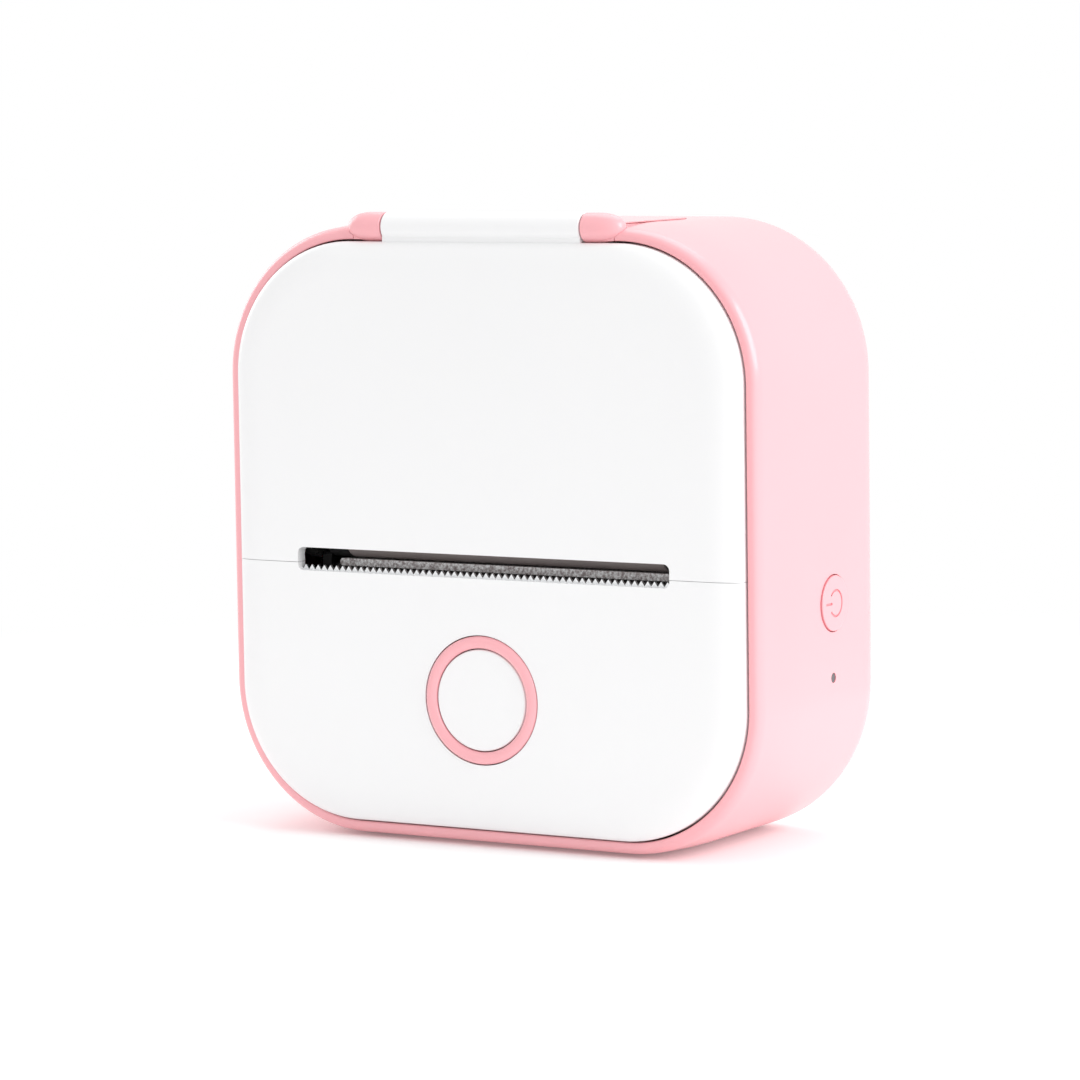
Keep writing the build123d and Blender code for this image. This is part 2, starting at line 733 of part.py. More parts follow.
with BuildPart() as cutter_blade:
    half_blade = slot_width / 2 - cutter_end_gap
    blade_bottom = slot_bottom - cutter_height + 1.4
    teeth_count = int(2 * half_blade / tooth_pitch)
    first_tooth = -teeth_count * tooth_pitch / 2
    with BuildSketch(at_depth(cutter_depth)):
        with BuildLine():
            outline = [(-half_blade, blade_bottom), (-half_blade, slot_bottom + 0.05)]
            for tooth in range(teeth_count):
                start = first_tooth + tooth * tooth_pitch
                outline.append((start, slot_bottom + 0.05))
                outline.append((start + tooth_pitch / 2, slot_bottom + 0.05 + tooth_height))
            outline.append((-first_tooth, slot_bottom + 0.05))
            outline.append((half_blade, slot_bottom + 0.05))
            outline.append((half_blade, blade_bottom))
            Polyline(*outline, close=True)
        make_face()
    extrude(amount=-cutter_thickness)
save(cutter_blade, "cutter_blade")

# Feed button: fixed ring, moving cap, and the switch behind it
with BuildPart() as button_ring:
    stud(0, button_height, (-ring_proud, panel_wall + button_gap + ring_flange), ring_radius)
    fillet(button_ring.edges().sort_by(Axis.Y)[0], radius=0.5)
    stud(0, button_height, (panel_wall + button_gap, panel_wall + button_gap + ring_flange),
         ring_flange_radius)
    stud(0, button_height, (-1, panel_wall + 3), ring_inner_radius, Mode.SUBTRACT)
    fillet(button_ring.edges().filter_by(GeomType.CIRCLE).sort_by(Axis.Y)[0:1], radius=0.3)
save(button_ring, "button_ring")

cap_flange_front = panel_wall + button_gap + ring_flange + 0.1
plunger_front = board_front - switch_body - plunger_proud
with BuildPart() as feed_button:
    stud(0, button_height, (0, cap_flange_front + cap_flange), ring_inner_radius - button_gap)
    fillet(feed_button.edges().sort_by(Axis.Y)[0], radius=0.3)
    stud(0, button_height, (cap_flange_front, cap_flange_front + cap_flange), cap_flange_radius)
    stud(0, button_height, (cap_thickness, cap_flange_front + cap_flange + 1), ring_inner_radius - 1.2,
         Mode.SUBTRACT)
    stud(0, button_height, (cap_thickness, plunger_front), stem_radius)
save(feed_button, "feed_button")

with BuildPart() as feed_plunger:
    stud(0, button_height, (plunger_front, board_front - switch_body + 0.4), plunger_radius)
save(feed_plunger, "feed_plunger")

with BuildPart() as feed_switch:
    block((-switch_size / 2, switch_size / 2), (board_front - switch_body, board_front),
          (button_height - switch_size / 2, button_height + switch_size / 2))
    stud(0, button_height, (board_front - switch_body - 1, board_front - 1.5), plunger_radius + 0.08,
         Mode.SUBTRACT)
save(feed_switch, "feed_switch")

# Main board
with BuildPart() as main_board:
    with BuildSketch(at_depth(board_front)):
        case_outline(board_inset)
        with Locations((0, board_top + body_height / 2)):
            Rectangle(2 * body_width, body_height, mode=Mode.SUBTRACT)
        with Locations((-board_post_x, post_heights[0]), (board_post_x, post_heights[0])):
            Circle(screw_hole_radius, mode=Mode.SUBTRACT)
        with Locations((-post_x, post_heights[0]), (post_x, post_heights[0])):
            Circle(screw_head_radius + 0.4, mode=Mode.SUBTRACT)
    extrude(amount=-board_thickness)
save(main_board, "main_board")

with BuildPart() as board_chips:
    for x, z, scale in ((chip_side, button_height, 1.0), (-chip_side, button_height + chip_height / 2, 1.3),
                        (-chip_side, button_height - chip_height, 0.6), (chip_side,
                                                                         button_height - chip_height, 0.5)):
        half_width, half_height = scale * chip_width / 2, scale * chip_height / 2
        block((x - half_width, x + half_width), (board_front - scale * chip_thickness, board_front),
              (z - half_height, z + half_height))
save(board_chips, "board_chips")

with BuildPart() as board_screws:
    for side in (-1, 1):
        head = (board_front - board_screw_head_height, board_front)
        stud(side * board_post_x, post_heights[0], head, board_screw_head_radius)
        stud(side * board_post_x, post_heights[0], (board_front, board_back + board_screw_bite),
             pilot_radius)
save(board_screws, "board_screws")

# Charging socket on the board's left edge
socket_depth = board_back + socket_thickness / 2
socket_mouth = -body_width / 2 + case_wall / 2 + socket_recess / 2
with BuildPart() as charging_socket:
    with BuildSketch(at_side(socket_mouth, socket_depth, socket_height)):
        SlotOverall(socket_width, socket_thickness, rotation=90)
    extrude(amount=socket_length)
    with BuildSketch(at_side(socket_mouth, socket_depth, socket_height)):
        SlotOverall(socket_width - 2 * socket_wall, socket_thickness - 2 * socket_wall, rotation=90)
    extrude(amount=socket_length - 0.8, mode=Mode.SUBTRACT)
save(charging_socket, "charging_socket")

with BuildPart() as socket_tongue:
    block((socket_mouth + 0.8, socket_mouth + socket_length - 0.8),
          (socket_depth - tongue_thickness / 2, socket_depth + tongue_thickness / 2),
          (socket_height - tongue_width / 2, socket_height + tongue_width / 2))
save(socket_tongue, "socket_tongue")

# Power button, its board and its switch
inner_wall_x = body_width / 2 - case_wall
flange_x = inner_wall_x - power_flange - 0.1
side_board_face = side_board_x + side_board_thickness
switch_x = side_board_face + side_switch_body
with BuildPart() as power_button:
    rod((flange_x, body_width / 2 + power_proud), power_depth, power_height, power_radius)
    fillet(power_button.edges().filter_by(GeomType.CIRCLE).sort_by(Axis.X)[-1], radius=0.25)
    rod((flange_x, flange_x + power_flange), power_depth, power_height, power_flange_radius)
    rod((switch_x + side_plunger_proud, flange_x), power_depth, power_height, side_stem_radius)
    # Engraved symbol: an open circle with a bar through its gap
    with BuildSketch(at_side(body_width / 2 + power_proud - symbol_engraving, power_depth, power_height)):
        Circle(symbol_radius + symbol_line / 2)
        Circle(symbol_radius - symbol_line / 2, mode=Mode.SUBTRACT)
        with Locations((-symbol_radius, 0)):
            Rectangle(symbol_radius, 2 * symbol_gap, mode=Mode.SUBTRACT)
            Rectangle(symbol_radius, symbol_line)
    extrude(amount=2 * symbol_engraving, mode=Mode.SUBTRACT)
save(power_button, "power_button")

with BuildPart() as power_plunger:
    rod((switch_x - 0.4, switch_x + side_plunger_proud), power_depth, power_height, side_plunger_radius)
save(power_plunger, "power_plunger")

with BuildPart() as power_switch:
    half_switch = side_switch_size / 2
    block((side_board_face, switch_x), (power_depth - half_switch, power_depth + half_switch),
          (power_height - half_switch, power_height + half_switch))
    rod((switch_x - 1.2, switch_x + 1), power_depth, power_height, side_plunger_radius + 0.08, Mode.SUBTRACT)
save(power_switch, "power_switch")

board_low, board_high = light_height - side_board_low_margin, power_height + side_board_margin
board_near, board_far = power_depth - side_board_margin, power_depth + side_board_margin
with BuildPart() as side_board:
    block((side_board_x, side_board_face), (board_near, board_far), (board_low, board_high))
save(side_board, "side_board")

with BuildPart() as side_board_arms:
    for z in (board_low + side_arm_width, board_high - side_arm_width):
        block((cheek_outer, side_board_x), (board_far - side_arm_depth, board_far),
              (z - side_arm_width / 2, z + side_arm_width / 2))
save(side_board_arms, "side_board_arms")

with BuildPart() as status_light:
    half_chip = light_chip / 2
    rod((side_board_face + light_chip_thickness, body_width / 2 - 0.1), light_depth, light_height,
        light_radius - 0.05)
    block((side_board_face, side_board_face + light_chip_thickness),
          (light_depth - half_chip, light_depth + half_chip),
          (light_height - half_chip, light_height + half_chip))
save(status_light, "status_light")

# Battery pack on its tray
battery_back = frame_back - frame_wall - battery_back_gap
with BuildPart() as battery:
    block((-battery_length / 2, battery_length / 2), (battery_back - battery_depth, battery_back),
          (battery_bottom, battery_bottom + battery_height))
    fillet(battery.edges().filter_by(Axis.X), radius=1.5)
save(battery, "battery")

# Paper sensor on the front edge of the bay's floor
with BuildPart() as paper_sensor:
    block((-2.0, 2.0), (bay_floor_front - 1.6, bay_floor_front), (bay_floor + 0.2, bay_floor + frame_wall))
save(paper_sensor, "paper_sensor")
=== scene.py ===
import logging
import math
from dataclasses import dataclass
from enum import Enum
from typing import Callable, Iterable, Optional, Sequence

import bmesh
import bpy
from mathutils import Matrix, Vector


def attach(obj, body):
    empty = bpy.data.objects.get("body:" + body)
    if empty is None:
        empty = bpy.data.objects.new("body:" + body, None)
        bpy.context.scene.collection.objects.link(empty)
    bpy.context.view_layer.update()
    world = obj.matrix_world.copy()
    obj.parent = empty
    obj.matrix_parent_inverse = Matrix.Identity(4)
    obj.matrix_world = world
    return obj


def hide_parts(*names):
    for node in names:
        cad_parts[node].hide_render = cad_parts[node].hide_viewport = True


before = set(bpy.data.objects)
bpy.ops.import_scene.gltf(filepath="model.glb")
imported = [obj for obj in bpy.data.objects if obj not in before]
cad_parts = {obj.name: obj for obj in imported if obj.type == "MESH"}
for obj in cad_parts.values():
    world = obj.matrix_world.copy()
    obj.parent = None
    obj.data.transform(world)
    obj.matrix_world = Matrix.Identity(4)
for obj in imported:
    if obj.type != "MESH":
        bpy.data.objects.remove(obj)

LOG = logging.getLogger("printer")
MM = 0.001
WELD = 1e-7
ALONG_AXIS = 0.9


@dataclass(frozen=True)
class Case:
    """Sizes of the case in millimetres, with depths measured from the front face."""

    width: float = 84.0
    height: float = 84.6
    depth: float = 38.0
    corner: float = 21.0
    wall: float = 2.2
    rim_depth: float = 2.0
    rim_round: float = 1.1
    rim_round_depth: float = 2.0
    crown: float = 0.45
    crown_depth: float = 14.0
    back_round: float = 6.0
    cavity_round: float = 3.6

    @property
    def front(self) -> float:
        """Y of the front face."""
        return -self.depth / 2

    @property
    def side(self) -> float:
        """X of the right side."""
        return self.width / 2


CASE = Case()


def place(x: float, depth: float, z: float) -> Vector:
    """Gives a point in metres from millimetres and a depth behind the front face."""
    return Vector((x, CASE.front + depth, z)) * MM


class Axis(Enum):
    """The three directions that round pieces turn about."""

    X = (1.0, 0.0, 0.0)
    Y = (0.0, 1.0, 0.0)
    Z = (0.0, 0.0, 1.0)

    @property
    def vector(self) -> Vector:
        """The direction as a vector."""
        return Vector(self.value)


class Cut(Enum):
    """How one mesh changes another."""

    AWAY = "DIFFERENCE"
    JOIN = "UNION"


def runs_along(edge: bmesh.types.BMEdge, axis: Axis) -> bool:
    """Says whether an edge runs along an axis."""
    start, end = edge.verts
    return abs((end.co - start.co).normalized().dot(axis.vector)) > ALONG_AXIS


class Form:
    """A mesh under construction, in metres, built with mesh operators."""

    def __init__(self) -> None:
        """Starts an empty mesh."""
        self.bm = bmesh.new()

    def rounded_square(self, inset: float, depth: float, segments: int = 28) -> bmesh.types.BMFace:
        """Makes one face with the case's outline, facing the front.

        Args:
            inset: how far inside the case's outline the face's edge lies, in mm.
            depth: the face's depth behind the front face, in mm.
            segments: edges in each corner.

        Returns:
            The new face.
        """
        made = bmesh.ops.create_grid(self.bm, x_segments=1, y_segments=1, size=0.5)
        size = Vector((CASE.width - 2 * inset, CASE.height - 2 * inset, 1.0)) * MM
        bmesh.ops.scale(self.bm, vec=size, verts=made["verts"])
        turn = Matrix.Rotation(math.radians(90), 3, "X")
        bmesh.ops.rotate(self.bm, cent=(0, 0, 0), matrix=turn, verts=made["verts"])
        bmesh.ops.translate(self.bm, vec=place(0, depth, CASE.height / 2), verts=made["verts"])
        rounded = bmesh.ops.bevel(
            self.bm, geom=made["verts"], offset=(CASE.corner - inset) * MM, offset_type="OFFSET",
            segments=segments, profile=0.5, affect="VERTICES", material=-1, clamp_overlap=False,
        )
        corner = rounded["verts"][0]
        return corner.link_faces[0]

    def push(self, face: bmesh.types.BMFace, move: Vector) -> bmesh.types.BMFace:
        """Draws a face out along a straight wall.

        Args:
            face: the face to draw out; it is replaced by the moved one.
            move: the wall's direction and length, in mm.

        Returns:
            The moved face.
        """
        moved = bmesh.ops.extrude_discrete_faces(self.bm, faces=[face])["faces"][0]
        bmesh.ops.translate(self.bm, vec=move * MM, verts=moved.verts)
        return moved

    def opposite(self, face: bmesh.types.BMFace, depth: float) -> bmesh.types.BMFace:
        """Adds the back of a face and draws it back along a straight wall.

        Args:
            face: the face that looks to the front.
            depth: the wall's depth, in mm.

        Returns:
            The face that looks to the back.
        """
        rear = self.bm.faces.new([self.bm.verts.new(v.co) for v in reversed(face.verts)])
        rear = self.push(rear, Vector((0, depth, 0)))
        bmesh.ops.remove_doubles(self.bm, verts=self.bm.verts, dist=WELD)
        return rear

    def shrink(self, face: bmesh.types.BMFace, inset: float, lift: float) -> bmesh.types.BMFace:
        """Insets a face and lifts it along Y.

        Args:
            face: the face to inset.
            inset: how far its edge moves inwards, in mm.
            lift: how far it moves along Y, in mm.

        Returns:
            The inner face.
        """
        bmesh.ops.inset_region(
            self.bm, faces=[face], thickness=inset * MM, depth=0.0, use_even_offset=True, use_boundary=True
        )
        bmesh.ops.translate(self.bm, vec=Vector((0, lift, 0)) * MM, verts=face.verts)
        return face

    def round_over(
        self, face: bmesh.types.BMFace, width: float, lift: float, steps: int, softness: float = 2.0
    ) -> bmesh.types.BMFace:
        """Rounds a face's edge over in even steps of a quarter ellipse.

        Args:
            face: the face whose edge is rounded.
            width: how far the edge moves inwards, in mm.
            lift: how far the face moves along Y, in mm.
            steps: rings of faces in the rounding.
            softness: the power of the curve, 2 for an ellipse.

        Returns:
            The inner face.
        """
        done_width, done_lift = 0.0, 0.0
        for step in range(1, steps + 1):
            angle = math.pi / 2 * step / steps
            new_width = width * (1 - abs(math.cos(angle)) ** (2 / softness))
            new_lift = lift * math.sin(angle) ** (2 / softness)
            face = self.shrink(face, new_width - done_width, new_lift - done_lift)
            done_width, done_lift = new_width, new_lift
        return face

    def slab(
        self, low: Vector, high: Vector, round_edge: float = 0.0, axis: Optional[Axis] = None,
        segments: int = 6,
    ) -> "Form":
        """Adds a block between two corners, with its edges along one axis rounded.

        Args:
            low: the lowest corner, in metres.
            high: the highest corner, in metres.
            round_edge: the rounding, in mm.
            axis: the edges to round, or all of them.
            segments: faces in each rounding.

        Returns:
            This form.
        """
        made = bmesh.ops.create_cube(self.bm, size=1.0)
        bmesh.ops.scale(self.bm, vec=high - low, verts=made["verts"])
        bmesh.ops.translate(self.bm, vec=(low + high) / 2, verts=made["verts"])
        if round_edge:
            edges = {e for v in made["verts"] for e in v.link_edges}
            if axis:
                edges = {e for e in edges if runs_along(e, axis)}
            bmesh.ops.bevel(
                self.bm, geom=list(edges), offset=round_edge * MM, offset_type="OFFSET", segments=segments,
                profile=0.5, affect="EDGES", material=-1,
            )
        return self

    def lathe(
        self, centre: Vector, axis: Axis, outline: Sequence[tuple[float, float]], steps: int = 72
    ) -> "Form":
        """Turns a closed outline about an axis through a centre.

        Args:
            centre: a point on the axis, in metres.
            axis: the axis.
            outline: points as (along the axis, radius), in mm; a radius of 0 lies on the axis.
            steps: faces round the axis.

        Returns:
            This form.
        """
        along = axis.vector
        out = Axis.Z.vector if axis is not Axis.Z else Axis.X.vector
        points = [self.bm.verts.new(centre + (along * a + out * r) * MM) for a, r in outline]
        edges = [self.bm.edges.new(pair) for pair in zip(points, points[1:])]
        bmesh.ops.spin(
            self.bm, geom=points + edges, cent=centre, axis=along, angle=math.tau, steps=steps,
            use_merge=True,
        )
        bmesh.ops.remove_doubles(self.bm, verts=self.bm.verts, dist=WELD)
        return self

    def keep_side(self, height: float, above: bool) -> "Form":
        """Cuts the form level at a height and keeps one side, closing the cut.

        Args:
            height: the cut's height, in mm.
            above: whether the upper side stays.

        Returns:
            This form.
        """
        geom = self.bm.verts[:] + self.bm.edges[:] + self.bm.faces[:]
        cut = bmesh.ops.bisect_plane(
            self.bm, geom=geom, dist=WELD, plane_co=(0, 0, height * MM), plane_no=(0, 0, 1),
            clear_inner=above, clear_outer=not above,
        )
        edges = [g for g in cut["geom_cut"] if isinstance(g, bmesh.types.BMEdge)]
        bmesh.ops.holes_fill(self.bm, edges=edges, sides=0)
        return self

    def piece(self, name: str) -> bpy.types.Object:
        """Writes the form to a new object at the origin.

        Args:
            name: the object's name.

        Returns:
            The object.
        """
        bmesh.ops.recalc_face_normals(self.bm, faces=self.bm.faces)
        mesh = bpy.data.meshes.new(name)
        self.bm.to_mesh(mesh)
        self.bm.free()
        made = bpy.data.objects.new(name, mesh)
        bpy.context.scene.collection.objects.link(made)
        return made


def combine(target: bpy.types.Object, tool: Form, how: Cut) -> None:
    """Cuts a form from an object, or joins it to it, and keeps the result as the object's mesh.

    Args:
        target: the object that changes.
        tool: the form to cut or join.
        how: which of these.
    """
    cutter = tool.piece("tool")
    step = target.modifiers.new("step", "BOOLEAN")
    step.operation = how.value
    step.solver = "EXACT"
    step.object = cutter
    graph = bpy.context.evaluated_depsgraph_get()
    result = bpy.data.meshes.new_from_object(target.evaluated_get(graph))
    target.modifiers.remove(step)
    old = target.data
    result.name = target.name
    target.data = result
    bpy.data.meshes.remove(old)
    bpy.data.objects.remove(cutter)


def smooth(piece: bpy.types.Object, angle: float = 32.0) -> None:
    """Shades a piece smooth, keeps its real corners sharp and its flats flat.

    Args:
        piece: the piece.
        angle: the least angle of a corner, in degrees.
    """
    piece.data.materials.clear()
    piece.data.shade_smooth()
    piece.data.set_sharp_from_angle(angle=math.radians(angle))
    weighted = piece.modifiers.new("even light", "WEIGHTED_NORMAL")
    weighted.keep_sharp = True


class Wire:
    """A shader socket's value that takes part in sums and products."""

    def __init__(self, shader: "Shader", socket: bpy.types.NodeSocket) -> None:
        """Holds the socket and the shader it belongs to."""
        self.shader = shader
        self.socket = socket

    def _maths(self, operation: str, first: "Wire | float", second: "Wire | float") -> "Wire":
        """Adds a Math node for one operation."""
        return self.shader.node("ShaderNodeMath", {"operation": operation}, {0: first, 1: second})

    def __add__(self, other: "Wire | float") -> "Wire":
        """Adds."""
        return self._maths("ADD", self, other)

    def __radd__(self, other: float) -> "Wire":
        """Adds, from the right."""
        return self._maths("ADD", other, self)

    def __rmul__(self, other: float) -> "Wire":
        """Multiplies, from the right."""
        return self._maths("MULTIPLY", other, self)

    def __lt__(self, other: float) -> "Wire":
        """Is 1 where the value is lower."""
        return self._maths("LESS_THAN", self, other)


Value = "Wire | float | tuple[float, ...]"


class Shader:
    """A material's node tree with one Principled shader."""

    def __init__(self, name: str) -> None:
        """Starts a material with that name."""
        self.material = bpy.data.materials.new(name)
        self.material.use_nodes = True
        self.tree = self.material.node_tree
        self.surface = self.tree.nodes["Principled BSDF"]

    def node(self, kind: str, settings: dict, inputs: dict, output: "int | str" = 0) -> Wire:
        """Adds a node.

        Args:
            kind: the node's type.
            settings: its properties, set first; a ramp's stops go under "stops".
            inputs: values or wires for its sockets, by name or number.
            output: the output to pass on.

        Returns:
            The chosen output.
        """
        made = self.tree.nodes.new(kind)
        for name, value in settings.items():
            if name == "stops":
                for element, (position, colour) in zip(self._stops(made, len(value)), value):
                    element.position, element.color = position, colour
            else:
                setattr(made, name, value)
        for name, value in inputs.items():
            self.feed(made.inputs[name], value)
        return Wire(self, made.outputs[output])

    @staticmethod
    def _stops(ramp: bpy.types.Node, count: int) -> Iterable:
        """Gives a ramp that many stops."""
        while len(ramp.color_ramp.elements) < count:
            ramp.color_ramp.elements.new(0.5)
        return ramp.color_ramp.elements

    def feed(self, socket: bpy.types.NodeSocket, value: Value) -> None:
        """Links a wire to a socket or sets its value."""
        if isinstance(value, Wire):
            self.tree.links.new(value.socket, socket)
        else:
            socket.default_value = value

    def set(self, **values: Value) -> None:
        """Sets the Principled shader's sockets by name, with _ for a space."""
        for name, value in values.items():
            self.feed(self.surface.inputs[name.replace("_", " ")], value)

    def where(self) -> Wire:
        """Object coordinates."""
        return self.node("ShaderNodeTexCoord", {}, {}, "Object")

    def along(self, axis: Axis) -> Wire:
        """The position along one axis, in metres."""
        return self.node("ShaderNodeSeparateXYZ", {}, {0: self.where()}, axis.name)

    def noise(self, size: float, detail: float = 3.0, rough: float = 0.5) -> Wire:
        """Noise from 0 to 1 with features of a size in millimetres."""
        settings = {"noise_dimensions": "3D"}
        inputs = {"Vector": self.where(), "Scale": 1 / (size * MM), "Detail": detail, "Roughness": rough}
        return self.node("ShaderNodeTexNoise", settings, inputs, "Fac")

    def mix(self, amount: "Wire | float", low: tuple, high: tuple) -> Wire:
        """Blends between two colours."""
        made = self.tree.nodes.new("ShaderNodeMix")
        made.data_type = "RGBA"
        self.feed(made.inputs[0], amount)
        made.inputs[6].default_value = (*low, 1.0)
        made.inputs[7].default_value = (*high, 1.0)
        return Wire(self, made.outputs[2])

    def bump(self, height: Wire, depth: float) -> Wire:
        """Turns a height from 0 to 1 into relief of a depth in millimetres."""
        inputs = {"Strength": 1.0, "Distance": depth * MM, "Height": height}
        return self.node("ShaderNodeBump", {}, inputs, "Normal")


def shade(colour: Sequence[float], factor: float) -> tuple[float, float, float]:
    """Scales a colour's brightness."""
    return tuple(min(1.0, c * factor) for c in colour)


@dataclass(frozen=True)
class MouldedPlastic:
    """Moulded plastic with a fine spark-eroded grain."""

    name: str
    colour: tuple[float, float, float]
    roughness: float = 0.45
    grain: float = 0.22
    relief: float = 0.006
    coat: float = 0.0
    drift: float = 0.025
    cloud_size: float = 26.0
    cloud_spread: float = 0.04
    grain_spread: float = 0.08
    polish: float = 0.05
    coat_roughness: float = 0.14
    specular: float = 0.45

    def material(self) -> bpy.types.Material:
        """Builds the material."""
        shader = Shader(self.name)
        cloud = shader.noise(self.cloud_size, 2.0)
        fine = shader.noise(self.grain, 2.0)
        darker, lighter = shade(self.colour, 1 - self.drift), shade(self.colour, 1 + self.drift)
        shader.set(
            Base_Color=shader.mix(cloud, darker, lighter),
            Roughness=self.roughness - self.polish + self.grain_spread * fine + self.cloud_spread * cloud,
            Coat_Weight=self.coat, Coat_Roughness=self.coat_roughness, Specular_IOR_Level=self.specular,
            Normal=shader.bump(fine, self.relief),
        )
        return shader.material


@dataclass(frozen=True)
class EngravedPlastic(MouldedPlastic):
    """Moulded plastic with painted shade in its engraved symbol: the sunk part is coloured darker,
    standing in for the shade in the engraving.
    """

    face_x: float = 42.0
    # Painted shade: the share of the colour that the sunk symbol keeps.
    recess_shade_share: tuple[float, float, float] = (0.86, 0.66, 0.68)

    def material(self) -> bpy.types.Material:
        """Builds the material."""
        shader = Shader(self.name)
        fine = shader.noise(self.grain, 2.0)
        # Painted shade: everything behind the button's face, which is the engraved symbol, gets a darker
        # colour in place of the shade in the engraving.
        painted_recess_shade = shader.along(Axis.X) < self.face_x * MM
        recess_shaded_colour = tuple(part * share for part, share in zip(self.colour, self.recess_shade_share))
        shader.set(
            Base_Color=shader.mix(painted_recess_shade, self.colour, recess_shaded_colour),
            Roughness=self.roughness - self.polish + self.grain_spread * fine,
            Specular_IOR_Level=self.specular,
            Normal=shader.bump(fine, self.relief),
        )
        return shader.material


@dataclass(frozen=True)
class Metal:
    """Bare metal with fine lines along one direction."""

    name: str
    colour: tuple[float, float, float]
    roughness: float = 0.3
    lines: tuple[float, float, float] = (3.0, 60.0, 60.0)
    line_scale: float = 60.0
    line_spread: float = 0.14
    patch_size: float = 6.0
    patch_spread: float = 0.06
    relief: float = 0.002

    def material(self) -> bpy.types.Material:
        """Builds the material."""
        shader = Shader(self.name)
        stretched = shader.node("ShaderNodeMapping", {}, {"Vector": shader.where(), "Scale": self.lines})
        inputs = {"Vector": stretched, "Scale": self.line_scale, "Detail": 4.0}
        brush = shader.node("ShaderNodeTexNoise", {}, inputs, "Fac")
        patch = shader.noise(self.patch_size, 3.0)
        shader.set(
            Base_Color=shader.mix(patch, shade(self.colour, 0.92), shade(self.colour, 1.06)),
            Metallic=1.0, Roughness=self.roughness + self.line_spread * brush + self.patch_spread * patch,
            Normal=shader.bump(brush, self.relief),
        )
        return shader.material


@dataclass(frozen=True)
class GroundRubber:
    """Dark rubber ground round, with a dull speckle."""

    name: str
    colour: tuple[float, float, float]
    roughness: float = 0.72
    specular: float = 0.3
    speck_size: float = 0.12
    speck_share: float = 0.6
    patch_size: float = 4.0
    patch_share: float = 0.4
    patch_spread: float = 0.12
    dark: float = 0.8
    light: float = 1.2
    relief: float = 0.01

    def material(self) -> bpy.types.Material:
        """Builds the material."""
        shader = Shader(self.name)
        speck = shader.noise(self.speck_size, 2.0)
        patch = shader.noise(self.patch_size, 2.0)
        blend = self.speck_share * speck + self.patch_share * patch
        shader.set(
            Base_Color=shader.mix(blend, shade(self.colour, self.dark), shade(self.colour, self.light)),
            Roughness=self.roughness + self.patch_spread * patch, Specular_IOR_Level=self.specular,
            Normal=shader.bump(speck, self.relief),
        )
        return shader.material


@dataclass(frozen=True)
class SpeckledStrip:
    """The print head's glazed strip, with fine light and dark grains."""

    name: str
    colour: tuple[float, float, float]
    roughness: float = 0.32
    metallic: float = 0.45
    grain: float = 0.45
    grain_spread: float = 0.2
    dark: tuple[float, float] = (0.38, 0.35)
    light: tuple[float, float] = (0.62, 1.35)
    relief: float = 0.01

    def material(self) -> bpy.types.Material:
        """Builds the material."""
        shader = Shader(self.name)
        grain = shader.noise(self.grain, 4.0, 0.7)
        stops = [(at, (*shade(self.colour, factor), 1)) for at, factor in (self.dark, self.light)]
        spots = shader.node("ShaderNodeValToRGB", {"stops": stops}, {0: grain})
        shader.set(
            Base_Color=spots, Roughness=self.roughness + self.grain_spread * grain, Metallic=self.metallic,
            Normal=shader.bump(grain, self.relief),
        )
        return shader.material


@dataclass(frozen=True)
class CircuitBoard:
    """Solder mask with copper areas showing faintly through it."""

    name: str
    colour: tuple[float, float, float]
    roughness: float = 0.35
    coat: float = 0.3
    coat_roughness: float = 0.2
    track_scale: float = 900.0
    track_width: float = 0.07
    track_disorder: float = 0.4
    mask_size: float = 1.0
    mask_spread: float = 0.1
    copper_light: float = 1.9
    relief: float = 0.02

    def material(self) -> bpy.types.Material:
        """Builds the material."""
        shader = Shader(self.name)
        inputs = {"Vector": shader.where(), "Scale": self.track_scale, "Randomness": self.track_disorder}
        tracks = shader.node("ShaderNodeTexVoronoi", {"feature": "DISTANCE_TO_EDGE"}, inputs, "Distance")
        copper = tracks < self.track_width
        shader.set(
            Base_Color=shader.mix(copper, self.colour, shade(self.colour, self.copper_light)),
            Roughness=self.roughness + self.mask_spread * shader.noise(self.mask_size),
            Coat_Weight=self.coat, Coat_Roughness=self.coat_roughness,
            Normal=shader.bump(copper, self.relief),
        )
        return shader.material


Finish = MouldedPlastic | Metal | GroundRubber | SpeckledStrip | CircuitBoard


def dress(piece: bpy.types.Object, finish: Finish) -> None:
    """Shades a finished piece and gives it its material.

    Args:
        piece: the piece.
        finish: what it is made of.
    """
    smooth(piece)
    piece.data.materials.append(finish.material())


